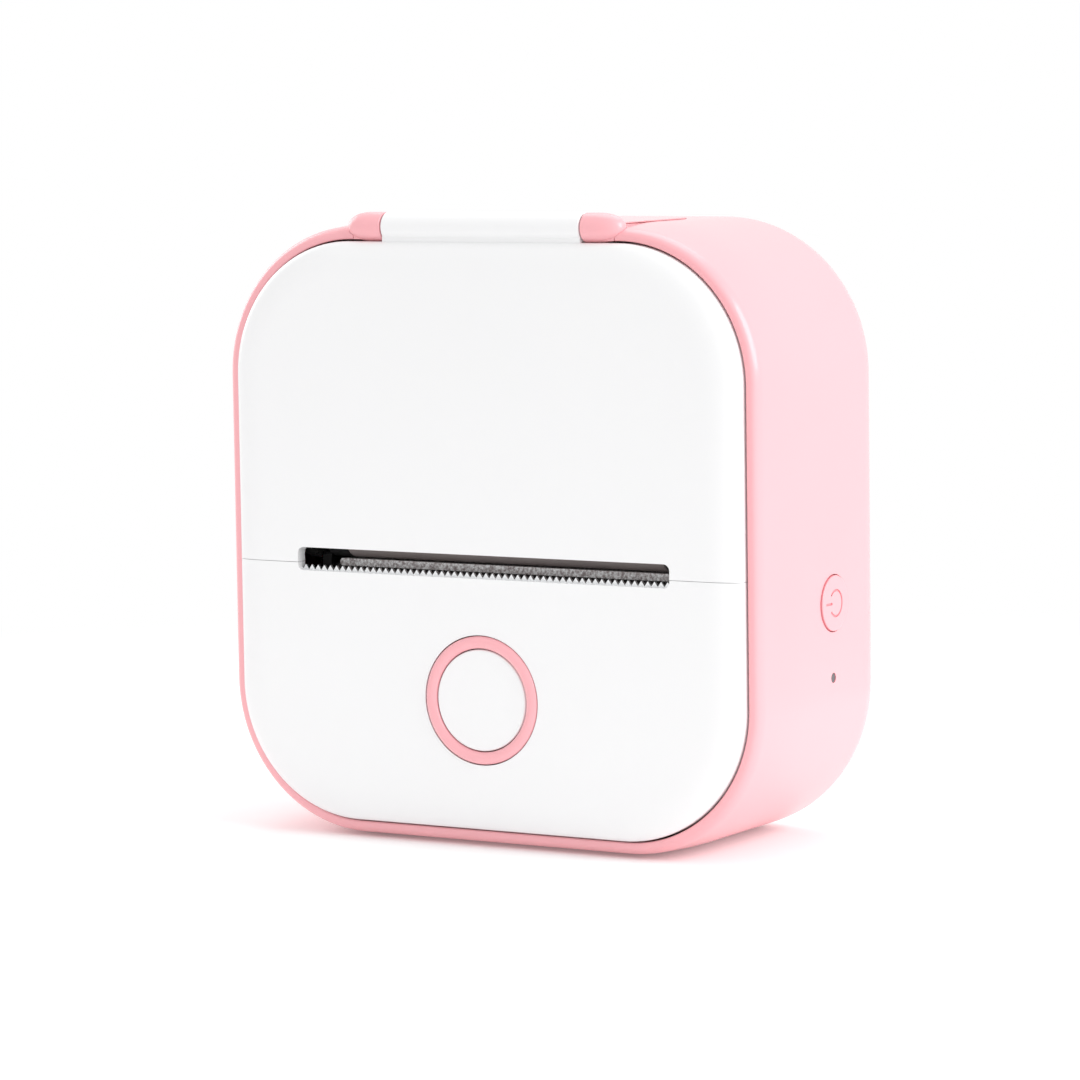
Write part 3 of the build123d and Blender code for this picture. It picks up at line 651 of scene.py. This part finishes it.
@dataclass(frozen=True)
class Studio:
    """The camera as the photograph's, the pale floor and the plain light."""

    eye: tuple[float, float, float] = (0.32056, -0.54364, 0.10510)
    forward: tuple[float, float, float] = (-0.50723, 0.85576, -0.10199)
    roll: float = math.radians(-0.837)
    lens: float = 153.15
    sensor: float = 36.0
    clip: tuple[float, float] = (0.01, 50.0)
    world: float = 0.775
    target: tuple[float, float, float] = (0.0, 0.0, 0.042)
    floor_half: float = 30.0
    floor_shade: float = 0.93
    floor_glow: float = 0.1
    shadow_end: float = 0.09
    fade_end: float = 0.26

    def camera(self) -> None:
        """Makes the scene's camera."""
        data = bpy.data.cameras.new("camera")
        data.lens, data.sensor_width, data.sensor_fit = self.lens, self.sensor, "HORIZONTAL"
        data.clip_start, data.clip_end = self.clip
        view = Vector(self.forward).normalized()
        level = view.cross(Axis.Z.vector).normalized()
        rise = level.cross(view)
        right = level * math.cos(self.roll) + rise * math.sin(self.roll)
        up = rise * math.cos(self.roll) - level * math.sin(self.roll)
        turn = Matrix((right, up, -view)).transposed().to_4x4()
        made = bpy.data.objects.new("camera", data)
        made.matrix_world = Matrix.Translation(Vector(self.eye)) @ turn
        bpy.context.scene.collection.objects.link(made)
        bpy.context.scene.camera = made

    def sky(self) -> None:
        """Lights the scene evenly, with white behind the object."""
        world = bpy.data.worlds.new("world")
        bpy.context.scene.world = world
        world.use_nodes = True
        tree = world.node_tree
        back = tree.nodes["Background"]
        back.inputs["Color"].default_value = (1, 1, 1, 1)
        path = tree.nodes.new("ShaderNodeLightPath")
        seen = tree.nodes.new("ShaderNodeMath")
        seen.operation = "MAXIMUM"
        level = tree.nodes.new("ShaderNodeMapRange")
        level.inputs["To Min"].default_value = self.world
        level.inputs["To Max"].default_value = 1.0
        tree.links.new(path.outputs["Is Camera Ray"], seen.inputs[0])
        tree.links.new(path.outputs["Is Glossy Ray"], seen.inputs[1])
        tree.links.new(seen.outputs[0], level.inputs["Value"])
        tree.links.new(level.outputs[0], back.inputs["Strength"])

    def lamp(self, name: str, spot: tuple[float, float, float], size: float, power: float) -> None:
        """Adds a soft square lamp that faces the printer.

        Args:
            name: the lamp's name.
            spot: where it stands, in metres.
            size: its width, in metres.
            power: its power, in watts.
        """
        data = bpy.data.lights.new(name, "AREA")
        data.shape, data.size, data.energy = "SQUARE", size, power
        made = bpy.data.objects.new(name, data)
        aim = Vector(self.target) - Vector(spot)
        turn = aim.to_track_quat("-Z", "Y").to_matrix().to_4x4()
        made.matrix_world = Matrix.Translation(Vector(spot)) @ turn
        bpy.context.scene.collection.objects.link(made)

    def floor(self) -> None:
        """Lays the white floor, which keeps the shadow near the printer and fades to plain white."""
        bm = bmesh.new()
        bmesh.ops.create_grid(bm, x_segments=1, y_segments=1, size=self.floor_half)
        mesh = bpy.data.meshes.new("floor")
        bm.to_mesh(mesh)
        bm.free()
        made = bpy.data.objects.new("floor", mesh)
        bpy.context.scene.collection.objects.link(made)
        shader = Shader("floor")
        away = shader.node("ShaderNodeVectorMath", {"operation": "LENGTH"}, {0: shader.where()}, "Value")
        inputs = {"Value": away, "From Min": self.shadow_end, "From Max": self.fade_end}
        far = shader.node("ShaderNodeMapRange", {"interpolation_type": "SMOOTHSTEP"}, inputs)
        shader.set(
            Base_Color=(self.floor_shade, self.floor_shade, self.floor_shade, 1), Roughness=1.0,
            Specular_IOR_Level=0.0, Emission_Color=(1, 1, 1, 1), Emission_Strength=self.floor_glow,
        )
        plain = shader.tree.nodes.new("ShaderNodeEmission")
        blend = shader.tree.nodes.new("ShaderNodeMixShader")
        shader.feed(blend.inputs[0], far)
        shader.tree.links.new(shader.surface.outputs[0], blend.inputs[1])
        shader.tree.links.new(plain.outputs[0], blend.inputs[2])
        output = shader.tree.nodes["Material Output"]
        shader.tree.links.new(blend.outputs[0], output.inputs["Surface"])
        made.data.materials.append(shader.material)

    def build(self) -> None:
        """Sets up the camera, the floor, the lamps and the view settings."""
        self.camera()
        self.sky()
        self.floor()
        self.lamp("side", spot=(0.8, 0.0, 0.42), size=0.6, power=5.4)
        self.lamp("front", spot=(-0.5, -0.8, 0.7), size=0.7, power=0.35)
        self.lamp("top", spot=(-0.1, 0.25, 0.75), size=0.6, power=1.5)
        self.lamp("left", spot=(-0.75, 0.15, 0.35), size=0.5, power=1.6)
        bpy.context.scene.view_settings.view_transform = "Standard"


PINK_COLOUR = (0.94, 0.44, 0.475)
BLACK_COLOUR = (0.02, 0.02, 0.021)

PINK = MouldedPlastic("pale pink plastic", PINK_COLOUR, roughness=0.34, coat=0.5)
# The power button's pink, with painted shade in its engraved symbol.
ENGRAVED_PINK = EngravedPlastic("pale pink button", PINK_COLOUR, roughness=0.34, face_x=42.2)
WHITE = MouldedPlastic(
    "white gloss plastic", (0.9, 0.9, 0.905), roughness=0.3, relief=0.003, coat=0.2, drift=0.008
)


@dataclass(frozen=True)
class Shell:
    """The pink tub, with its openings and posts."""

    crown_steps: int = 6
    lip_bevel: float = 0.15
    lip_drop: float = 0.12
    carrier_width: float = 41.0
    carrier_back: float = 27.0
    carrier_corner: float = 7.0
    opening_low: float = 76.0
    opening_high: float = 90.0
    seat_room: float = 0.03
    button: tuple[float, float, float] = (22.4, 33.2, 3.92)
    light: tuple[float, float, float] = (22.2, 23.1, 0.7)
    hole_reach: float = 6.0
    port: tuple[float, float, float, float] = (11.43, 25.0, 9.44, 3.76)
    port_ends: tuple[float, float] = (-46.0, -38.0)
    port_flat: float = 0.01
    posts: tuple[tuple[float, float], ...] = ((34.0, 16.0), (34.0, 58.5), (-34.0, 16.0), (-34.0, 58.5))
    post_front: float = 13.4
    post_radius: float = 2.6
    post_root: float = 1.2
    bore_radius: float = 0.7
    bore_depth: float = 6.0

    def tub(self) -> Form:
        """Models the tub's walls, inside and out."""
        form = Form()
        front = form.rounded_square(0.0, CASE.crown_depth)
        rear = form.opposite(front, CASE.depth - CASE.back_round - CASE.crown_depth)
        form.round_over(rear, CASE.back_round, CASE.back_round, 10)
        rise = CASE.crown_depth - CASE.rim_depth - CASE.rim_round_depth
        count = self.crown_steps
        for step in range(1, count + 1):
            front = form.shrink(front, CASE.crown * (step**2 - (step - 1) ** 2) / count**2, -rise / count)
        front = form.round_over(front, CASE.rim_round, -CASE.rim_round_depth, 7)
        front = form.shrink(front, CASE.wall - CASE.crown - CASE.rim_round - self.lip_bevel, 0.0)
        front = form.shrink(front, self.lip_bevel, self.lip_drop)
        inside = CASE.depth - CASE.wall - CASE.cavity_round - CASE.rim_depth
        front = form.push(front, Vector((0, inside, 0)))
        form.round_over(front, CASE.cavity_round, CASE.cavity_round, 6)
        return form

    def cut_top(self, tub: bpy.types.Object) -> None:
        """Cuts the opening for the insert and the seats of the two knuckles."""
        half, back = self.carrier_width / 2, self.carrier_back
        low, high = place(-half, -back, self.opening_low), place(half, back, self.opening_high)
        combine(tub, Form().slab(low, high, self.carrier_corner, Axis.Z, 14), Cut.AWAY)
        knuckle = Carrier()
        for side in (-1, 1):
            seat = knuckle.dome_outline(side, self.seat_room)
            outline = [(0.0, 0.0), (0.0, seat[0][1])] + seat
            combine(tub, Form().lathe(knuckle.centre, Axis.X, outline), Cut.AWAY)

    def cut_sides(self, tub: bpy.types.Object) -> None:
        """Cuts the holes of the power button and the light, and the charging port."""
        reach = self.hole_reach
        for depth, height, radius in (self.button, self.light):
            hole = [(-reach, 0), (-reach, radius), (reach, radius), (reach, 0)]
            combine(tub, Form().lathe(place(CASE.side, depth, height), Axis.X, hole), Cut.AWAY)
        depth, height, length, thick = self.port
        outer, inner = self.port_ends
        low = place(outer, depth - thick / 2, height - length / 2)
        high = place(inner, depth + thick / 2, height + length / 2)
        combine(tub, Form().slab(low, high, thick / 2 - self.port_flat, Axis.X, 8), Cut.AWAY)

    def add_posts(self, tub: bpy.types.Object) -> None:
        """Adds the four screw posts with their bores."""
        start, root = self.post_front - CASE.depth, -self.post_root
        bottom = start + self.bore_depth
        post = [
            (start, self.bore_radius), (start, self.post_radius), (root, self.post_radius), (root, 0.0),
            (bottom, 0.0), (bottom, self.bore_radius), (start, self.bore_radius),
        ]
        for x, z in self.posts:
            combine(tub, Form().lathe(place(x, CASE.depth, z), Axis.Y, post, 32), Cut.JOIN)

    def build(self) -> None:
        """Builds the tub, cuts its openings, adds its posts and dresses it."""
        tub = self.tub().piece("case_tub")
        self.cut_top(tub)
        self.cut_sides(tub)
        self.add_posts(tub)
        dress(tub, PINK)
        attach(tub, "case")
        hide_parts("case_shell")


@dataclass(frozen=True)
class Carrier:
    """The pink insert in the top, with the two domed hinge knuckles."""

    half_width: float = 20.4
    back: float = 26.9
    corner: float = 6.9
    proud: float = 0.2
    shadow_gap: float = 0.05
    neck_inset: float = 0.6
    neck_low: float = -0.2
    neck_overlap: float = 0.05
    base_top: float = -0.1
    depth: float = 3.0
    height: float = 84.1
    radius: float = 2.0
    trough: float = 15.7
    trough_room: float = 0.35
    mouth_front: float = -5.0
    tip: float = 21.5
    dome: float = 3.6
    dome_power: float = 0.75
    end_bevel: float = 0.1
    clear_half: float = 30.0
    clear_front: float = -40.0
    clear_low: float = 70.0
    clear_high: float = 90.0

    @property
    def centre(self) -> Vector:
        """The middle of the hinge's axis."""
        return place(0, self.depth, self.height)

    def dome_outline(self, side: int, allowance: float = 0.0) -> list[tuple[float, float]]:
        """The outline of one knuckle, from its inner end to its tip.

        Args:
            side: -1 for the left knuckle and 1 for the right one.
            allowance: how much larger than the knuckle the outline is, in mm.

        Returns:
            Points as (along the axis, radius), in mm.
        """
        outline = [(side * (self.trough + self.end_bevel), self.radius + allowance)]
        count = 14
        for step in range(count + 1):
            angle = math.pi / 2 * step / count
            along = self.tip + allowance - self.dome * (1 - math.sin(angle))
            outline.append((side * along, (self.radius + allowance) * math.cos(angle) ** self.dome_power))
        return outline

    def level(self, inset: float, low: float, high: float) -> Form:
        """Models one layer of the insert.

        Args:
            inset: how far inside the insert's outline the layer's edge lies, in mm.
            low: the height of its underside above the case's top, in mm.
            high: the height of its upper side above the case's top, in mm.

        Returns:
            The layer.
        """
        half, back = self.half_width - inset, self.back - inset
        under, over = place(-half, -back, CASE.height + low), place(half, back, CASE.height + high)
        return Form().slab(under, over, self.corner - inset, Axis.Z, 14)

    def make_room(self, plate: bpy.types.Object) -> None:
        """Cuts the insert off at the rim and hollows it for the cover's barrel."""
        low, high = self.clear_low, self.clear_high
        rim = Form().slab(
            place(-self.clear_half, self.clear_front, low), place(self.clear_half, CASE.rim_depth, high)
        )
        combine(plate, rim, Cut.AWAY)
        reach, bore = self.trough, self.radius + self.trough_room
        trough = [(-reach, 0), (-reach, bore), (reach, bore), (reach, 0)]
        combine(plate, Form().lathe(self.centre, Axis.X, trough), Cut.AWAY)
        mouth = Form().slab(place(-reach, self.mouth_front, low), place(reach, self.depth, high))
        combine(plate, mouth, Cut.AWAY)

    def build(self) -> None:
        """Builds and dresses the insert."""
        plate = self.level(0.0, -CASE.wall, self.base_top).piece("hinge_insert")
        neck = self.level(self.neck_inset, self.neck_low, self.shadow_gap + self.neck_overlap)
        combine(plate, neck, Cut.JOIN)
        combine(plate, self.level(0.0, self.shadow_gap, self.proud), Cut.JOIN)
        self.make_room(plate)
        for side in (-1, 1):
            end = [(side * self.trough, 0.0), (side * self.trough, self.radius - self.end_bevel)]
            combine(plate, Form().lathe(self.centre, Axis.X, end + self.dome_outline(side)), Cut.JOIN)
        dress(plate, PINK)
        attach(plate, "case")
        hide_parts("hinge_carrier")


@dataclass(frozen=True)
class Front:
    """The white face: the hinged cover above the seam and the panel below it."""

    inset: float = 2.47
    skirt: float = 5.0
    wall: float = 1.8
    soft_width: float = 4.8
    soft_depth: float = 1.7
    softness: float = 2.2
    seam: float = 38.0
    gap: float = 0.06
    slot_half: float = 29.25
    slot_top: float = 40.1
    slot_bottom: float = 36.9
    slot_corner: float = 0.9
    slot_front: float = -3.0
    behind: float = 0.6
    barrel_half: float = 15.5
    barrel_bevel: float = 0.12
    web_depths: tuple[float, float] = (1.5, 4.2)
    web_heights: tuple[float, float] = (81.2, 83.1)
    lip_end: float = 36.8
    lip_low: float = 35.5
    lip_rise: float = 1.2
    lip_wall: float = 1.2
    lip_space: float = 0.12
    foot_front: float = 0.9
    foot_low: float = 35.6
    foot_inset: float = 0.05
    foot_drop: float = 0.1
    ledge_half: float = 30.25
    ledge_heights: tuple[float, float] = (30.9, 32.3)
    ledge_overlap: float = 0.2
    ledge_back: float = 3.7
    pocket_depths: tuple[float, float] = (0.9, 2.8)
    pocket_top: float = 39.0
    button: tuple[float, float] = (20.4, 8.87)

    def tray(self) -> Form:
        """Models the whole face as one shallow tray with a soft edge."""
        form = Form()
        front = form.rounded_square(self.inset, self.soft_depth)
        rear = form.opposite(front, self.skirt - self.soft_depth)
        form.round_over(front, self.soft_width, -self.soft_depth, 12, self.softness)
        rear = form.shrink(rear, self.wall, 0.0)
        form.push(rear, Vector((0, self.wall - self.skirt, 0)))
        return form

    def slot(self) -> Form:
        """The opening that the paper comes out of, as a cutter."""
        low = place(-self.slot_half, self.slot_front, self.slot_bottom)
        high = place(self.slot_half, self.wall + self.behind, self.slot_top)
        return Form().slab(low, high, self.slot_corner, Axis.Y, 6)

    def cover(self) -> None:
        """Builds and dresses the hinged cover with its barrel."""
        cover = self.tray().keep_side(self.seam + self.gap / 2, True).piece("hinged_cover")
        combine(cover, self.slot(), Cut.AWAY)
        half, (near, far), (low, high) = self.barrel_half, self.web_depths, self.web_heights
        combine(cover, Form().slab(place(-half, near, low), place(half, far, high)), Cut.JOIN)
        hinge, bevel = Carrier(), self.barrel_bevel
        r = hinge.radius
        barrel = [
            (-half, 0), (-half, r - bevel), (-half + bevel, r),
            (half - bevel, r), (half, r - bevel), (half, 0),
        ]
        combine(cover, Form().lathe(hinge.centre, Axis.X, barrel), Cut.JOIN)
        dress(cover, WHITE)
        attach(cover, "cover")
        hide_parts("front_cover")

    def add_lips(self, panel: bpy.types.Object) -> None:
        """Adds the lips that stand behind the seam on both sides of the slot, with their feet."""
        front = self.wall + self.lip_space
        for side in (-1, 1):
            near, far = sorted((side * (self.slot_half + self.wall), side * self.lip_end))
            top = place(far, front + self.lip_wall, self.seam + self.lip_rise)
            combine(panel, Form().slab(place(near, front, self.lip_low), top), Cut.JOIN)
            low = place(near + self.foot_inset, self.foot_front, self.foot_low)
            high = place(far - self.foot_inset, self.wall + self.behind, self.seam - self.foot_drop)
            combine(panel, Form().slab(low, high), Cut.JOIN)

    def seat_cutter(self, panel: bpy.types.Object) -> None:
        """Adds the ledge under the cutter and cuts the pocket that the cutter stands in."""
        half, (low, high) = self.ledge_half, self.ledge_heights
        ledge = Form().slab(
            place(-half, self.wall - self.ledge_overlap, low), place(half, self.ledge_back, high)
        )
        combine(panel, ledge, Cut.JOIN)
        near, far = self.pocket_depths
        start = place(-self.slot_half, near, high)
        end = place(self.slot_half, far, self.pocket_top)
        combine(panel, Form().slab(start, end), Cut.AWAY)

    def panel(self) -> None:
        """Builds and dresses the lower panel with its round opening."""
        panel = self.tray().keep_side(self.seam - self.gap / 2, False).piece("lower_front")
        self.add_lips(panel)
        self.seat_cutter(panel)
        combine(panel, self.slot(), Cut.AWAY)
        (height, radius), reach = self.button, self.skirt
        hole = [(-reach, 0), (-reach, radius), (reach, radius), (reach, 0)]
        combine(panel, Form().lathe(place(0, 0, height), Axis.Y, hole, 96), Cut.AWAY)
        dress(panel, WHITE)
        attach(panel, "case")
        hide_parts("lower_panel")

    def build(self) -> None:
        """Builds both parts of the face."""
        self.cover()
        self.panel()


@dataclass(frozen=True)
class FeedButton:
    """The feed button's raised ring and its white cap."""

    height: float = 20.4
    ring_outer: float = 8.75
    ring_inner: float = 7.05
    proud: float = 0.35
    ring_root: float = 0.3
    ring_power: float = 0.8
    flange_front: float = 1.95
    flange_back: float = 2.8
    flange_radius: float = 9.8
    cap: float = 6.93
    cap_edge: tuple[tuple[float, float], ...] = ((0.0, 0.3), (0.04, 0.12), (0.14, 0.03), (0.3, 0.0))
    skirt_front: float = 2.95
    skirt_back: float = 3.6
    skirt_radius: float = 8.0
    hollow_depth: float = 1.5
    hollow_radius: float = 5.8
    stem_end: float = 4.55
    stem_radius: float = 1.5

    def ring(self) -> None:
        """Builds and dresses the fixed ring with its rounded section."""
        middle, half = (self.ring_outer + self.ring_inner) / 2, (self.ring_outer - self.ring_inner) / 2
        front, back, reach = self.flange_front, self.flange_back, self.flange_radius
        rise = self.proud + self.ring_root
        outline = [(back, self.ring_inner)]
        count = 12
        for step in range(count + 1):
            angle = math.pi * step / count
            crest = self.ring_root - rise * math.sin(angle) ** self.ring_power
            outline.append((crest, middle - half * math.cos(angle)))
        outline += [(front, self.ring_outer), (front, reach), (back, reach), (back, self.ring_inner)]
        ring = Form().lathe(place(0, 0, self.height), Axis.Y, outline, 96).piece("feed_ring")
        dress(ring, PINK)
        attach(ring, "case")
        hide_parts("button_ring")

    def face(self) -> None:
        """Builds and dresses the moving cap with its stem."""
        r, front, back = self.cap, self.skirt_front, self.skirt_back
        roof, end = self.hollow_depth, self.stem_end
        outline = [(0.0, 0.0)] + [(depth, r - inset) for depth, inset in self.cap_edge]
        outline += [(front, r), (front, self.skirt_radius), (back, self.skirt_radius)]
        outline += [(back, self.hollow_radius), (roof, self.hollow_radius)]
        outline += [(roof, self.stem_radius), (end, self.stem_radius), (end, 0.0)]
        cap = Form().lathe(place(0, 0, self.height), Axis.Y, outline, 96).piece("feed_cap_face")
        dress(cap, WHITE)
        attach(cap, "feed_cap")
        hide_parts("feed_button")

    def build(self) -> None:
        """Builds both parts."""
        self.ring()
        self.face()


@dataclass(frozen=True)
class PowerButton:
    """The round button on the right side, with its engraved symbol."""

    depth: float = 22.4
    height: float = 33.2
    radius: float = 3.8
    face: float = 42.3
    edge: tuple[tuple[float, float], ...] = ((0.25, 0.0), (0.1, 0.06), (0.02, 0.18), (0.0, 0.34))
    flange_back: float = -2.9
    flange_front: float = -2.3
    flange_radius: float = 4.7
    line: float = 0.32
    engrave: float = 0.14
    symbol: float = 1.75
    symbol_shift: float = 0.1
    symbol_gap: float = math.radians(38)
    symbol_steps: int = 48
    bar_start: float = 2.75
    bar_end: float = 0.95

    def symbol_ring(self) -> Form:
        """The symbol's open circle, as a cutter."""
        form = Form()
        centre = place(self.face, self.depth + self.symbol_shift, self.height)
        start = bmesh.ops.create_grid(form.bm, x_segments=1, y_segments=1, size=0.5)["verts"]
        bmesh.ops.scale(form.bm, vec=Vector((2 * self.engrave, self.line, 1)) * MM, verts=start)
        bmesh.ops.translate(form.bm, vec=centre + Vector((0, -self.symbol * MM, 0)), verts=start)
        turn = Matrix.Rotation(self.symbol_gap, 3, "X")
        bmesh.ops.rotate(form.bm, cent=centre, matrix=turn, verts=start)
        bmesh.ops.spin(
            form.bm, geom=form.bm.faces[:] + form.bm.edges[:] + form.bm.verts[:], cent=centre,
            axis=(1, 0, 0), angle=math.tau - 2 * self.symbol_gap, steps=self.symbol_steps,
        )
        return form

    def symbol_bar(self) -> Form:
        """The symbol's bar, as a cutter."""
        half = self.line / 2
        low = place(self.face - self.engrave, self.depth - self.bar_start, self.height - half)
        high = place(self.face + self.engrave, self.depth - self.bar_end, self.height + half)
        return Form().slab(low, high)

    def build(self) -> None:
        """Builds and dresses the button."""
        r, top = self.radius, self.face - CASE.side
        back, front, reach = self.flange_back, self.flange_front, self.flange_radius
        outline = [(back, 0.0), (back, reach), (front, reach), (front, r)]
        outline += [(top - drop, r - inset) for drop, inset in self.edge] + [(top, 0.0)]
        centre = place(CASE.side, self.depth, self.height)
        button = Form().lathe(centre, Axis.X, outline, 96).piece("power_cap_face")
        combine(button, self.symbol_ring(), Cut.AWAY)
        combine(button, self.symbol_bar(), Cut.AWAY)
        dress(button, ENGRAVED_PINK)
        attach(button, "power_cap")
        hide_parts("power_button")


@dataclass(frozen=True)
class Roller:
    """The rubber roller that moves the paper, with a black sleeve at its left end that is painted shade:
    it stands in for the shade at the left end of the paper slot.
    """

    depth: float = 6.0
    height: float = 41.7
    half: float = 26.5
    # Painted shade: the length of the black sleeve over the roller's left end.
    shade_sleeve_length: float = 3.2
    shade_sleeve_gap: float = 0.02
    radius: float = 3.3
    core: float = 1.2
    edge: tuple[tuple[float, float], ...] = ((0.0, 0.25), (0.07, 0.07), (0.25, 0.0))

    def sleeve(self, start: float, end: float) -> Form:
        """Models a round sleeve with soft edges.

        Args:
            start: its left end along the shaft, in mm.
            end: its right end along the shaft, in mm.

        Returns:
            The sleeve.
        """
        r = self.radius
        outline = [(start, self.core)] + [(start + along, r - inset) for along, inset in self.edge]
        outline += [(end - along, r - inset) for along, inset in reversed(self.edge)] + [(end, self.core)]
        return Form().lathe(place(0, self.depth, self.height), Axis.X, outline, 96)

    def build(self) -> None:
        """Builds and dresses the roller and the black sleeve of painted shade at its left end."""
        rubber = GroundRubber("roller rubber", (0.3, 0.255, 0.25))
        # Painted shade: a black sleeve over the roller's left end stands in for the shade at the left end
        # of the paper slot.
        black = MouldedPlastic("painted shade sleeve", BLACK_COLOUR, 0.5)
        step = -self.half + self.shade_sleeve_length
        parts = (
            ("roller_rubber", step, self.half, rubber),
            ("roller_shade_sleeve", -self.half, step - self.shade_sleeve_gap, black),
        )
        for name, start, end, finish in parts:
            sleeve = self.sleeve(start, end).piece(name)
            dress(sleeve, finish)
            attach(sleeve, "platen")
            if finish is rubber:
                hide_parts("platen_rubber")


@dataclass(frozen=True)
class HeadStrip:
    """The print head's glazed strip, with its rounded left end."""

    left: float = -25.2
    right: float = 27.0
    low: float = 37.28
    high: float = 38.28
    front: float = 4.5
    deep: float = 8.0
    end_round: float = 0.42

    def build(self) -> None:
        """Builds and dresses the strip."""
        low = place(self.left, self.front, self.low)
        high = place(self.right, self.front + self.deep, self.high)
        strip = Form().slab(low, high, self.end_round, Axis.Y, 5).piece("head_strip")
        dress(strip, SpeckledStrip("head strip", (0.92, 0.76, 0.76)))
        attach(strip, "print_head")
        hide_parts("head_ceramic")


@dataclass(frozen=True)
class Works:
    """The inner parts that stay as model.glb has them, each group with its own finish."""

    frame_plastic: Finish = MouldedPlastic("black inner plastic", BLACK_COLOUR, 0.5, 0.3, 0.008)
    holder_plastic: Finish = MouldedPlastic("white inner plastic", (0.78, 0.78, 0.76), 0.5)
    turned_steel: Finish = Metal("turned steel", (0.56, 0.57, 0.58), 0.25)
    plated_steel: Finish = Metal("plated steel", (0.6, 0.6, 0.6), 0.32)
    bright_strip: Finish = Metal("bright strip", (0.85, 0.86, 0.87), 0.28)
    gear_plastic: Finish = MouldedPlastic("gear plastic", (0.035, 0.034, 0.033), 0.42)
    brass: Finish = Metal("brass", (0.72, 0.5, 0.2), 0.28)
    zinc_can: Finish = Metal("zinc can", (0.5, 0.5, 0.51), 0.35)
    # The heat sink gets a near-black metal colour, which fills the dark band behind the cutter teeth.
    near_black_heat_sink_metal: Finish = Metal("near black heat sink metal", (0.1, 0.095, 0.095), 0.45)
    green_board: Finish = CircuitBoard("green board", (0.01, 0.1, 0.03))
    component: Finish = MouldedPlastic("black component", (0.02, 0.02, 0.02), 0.42)
    light_guide: Finish = MouldedPlastic("smoky light guide", (0.09, 0.08, 0.09), 0.2, coat=0.5)
    blue_wrap: Finish = MouldedPlastic("blue wrap", (0.05, 0.12, 0.33), 0.3, relief=0.01)

    def groups(self) -> list[tuple[Finish, str]]:
        """Gives each finish with the names of its nodes."""
        return [
            (self.frame_plastic, "inner_frame side_board_arms"),
            (self.holder_plastic, "platen_holder platen_bushes"),
            (self.turned_steel, "platen_shaft hinge_pin motor_shaft gear_axles"),
            (self.plated_steel, "frame_screws board_screws head_spring charging_socket"),
            (self.bright_strip, "cutter_blade"),
            (self.gear_plastic, "platen_gear idler_gear reduction_gear"),
            (self.brass, "motor_pinion"),
            (self.zinc_can, "stepper_motor"),
            (self.near_black_heat_sink_metal, "heat_sink"),
            (self.green_board, "main_board side_board"),
            (self.component, "board_chips feed_switch power_switch feed_plunger power_plunger "
                             "socket_tongue paper_sensor"),
            (self.light_guide, "status_light"),
            (self.blue_wrap, "battery"),
        ]

    def build(self) -> None:
        """Gives every inner part its finish."""
        for finish, names in self.groups():
            material = finish.material()
            for name in names.split():
                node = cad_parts[name]
                node.data.materials.clear()
                node.data.materials.append(material)


def main() -> None:
    """Builds each piece in order and reports it."""
    logging.basicConfig(level=logging.INFO, format="%(name)s: %(message)s")
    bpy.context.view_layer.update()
    steps: list[tuple[str, Callable[[], None]]] = [
        ("case tub", Shell().build),
        ("hinge insert", Carrier().build),
        ("white front", Front().build),
        ("feed button", FeedButton().build),
        ("power button", PowerButton().build),
        ("roller", Roller().build),
        ("head strip", HeadStrip().build),
        ("inner works", Works().build),
        ("studio", Studio().build),
    ]
    for name, build in steps:
        build()
        LOG.info("built the %s", name)


if __name__ == "__main__":
    main()
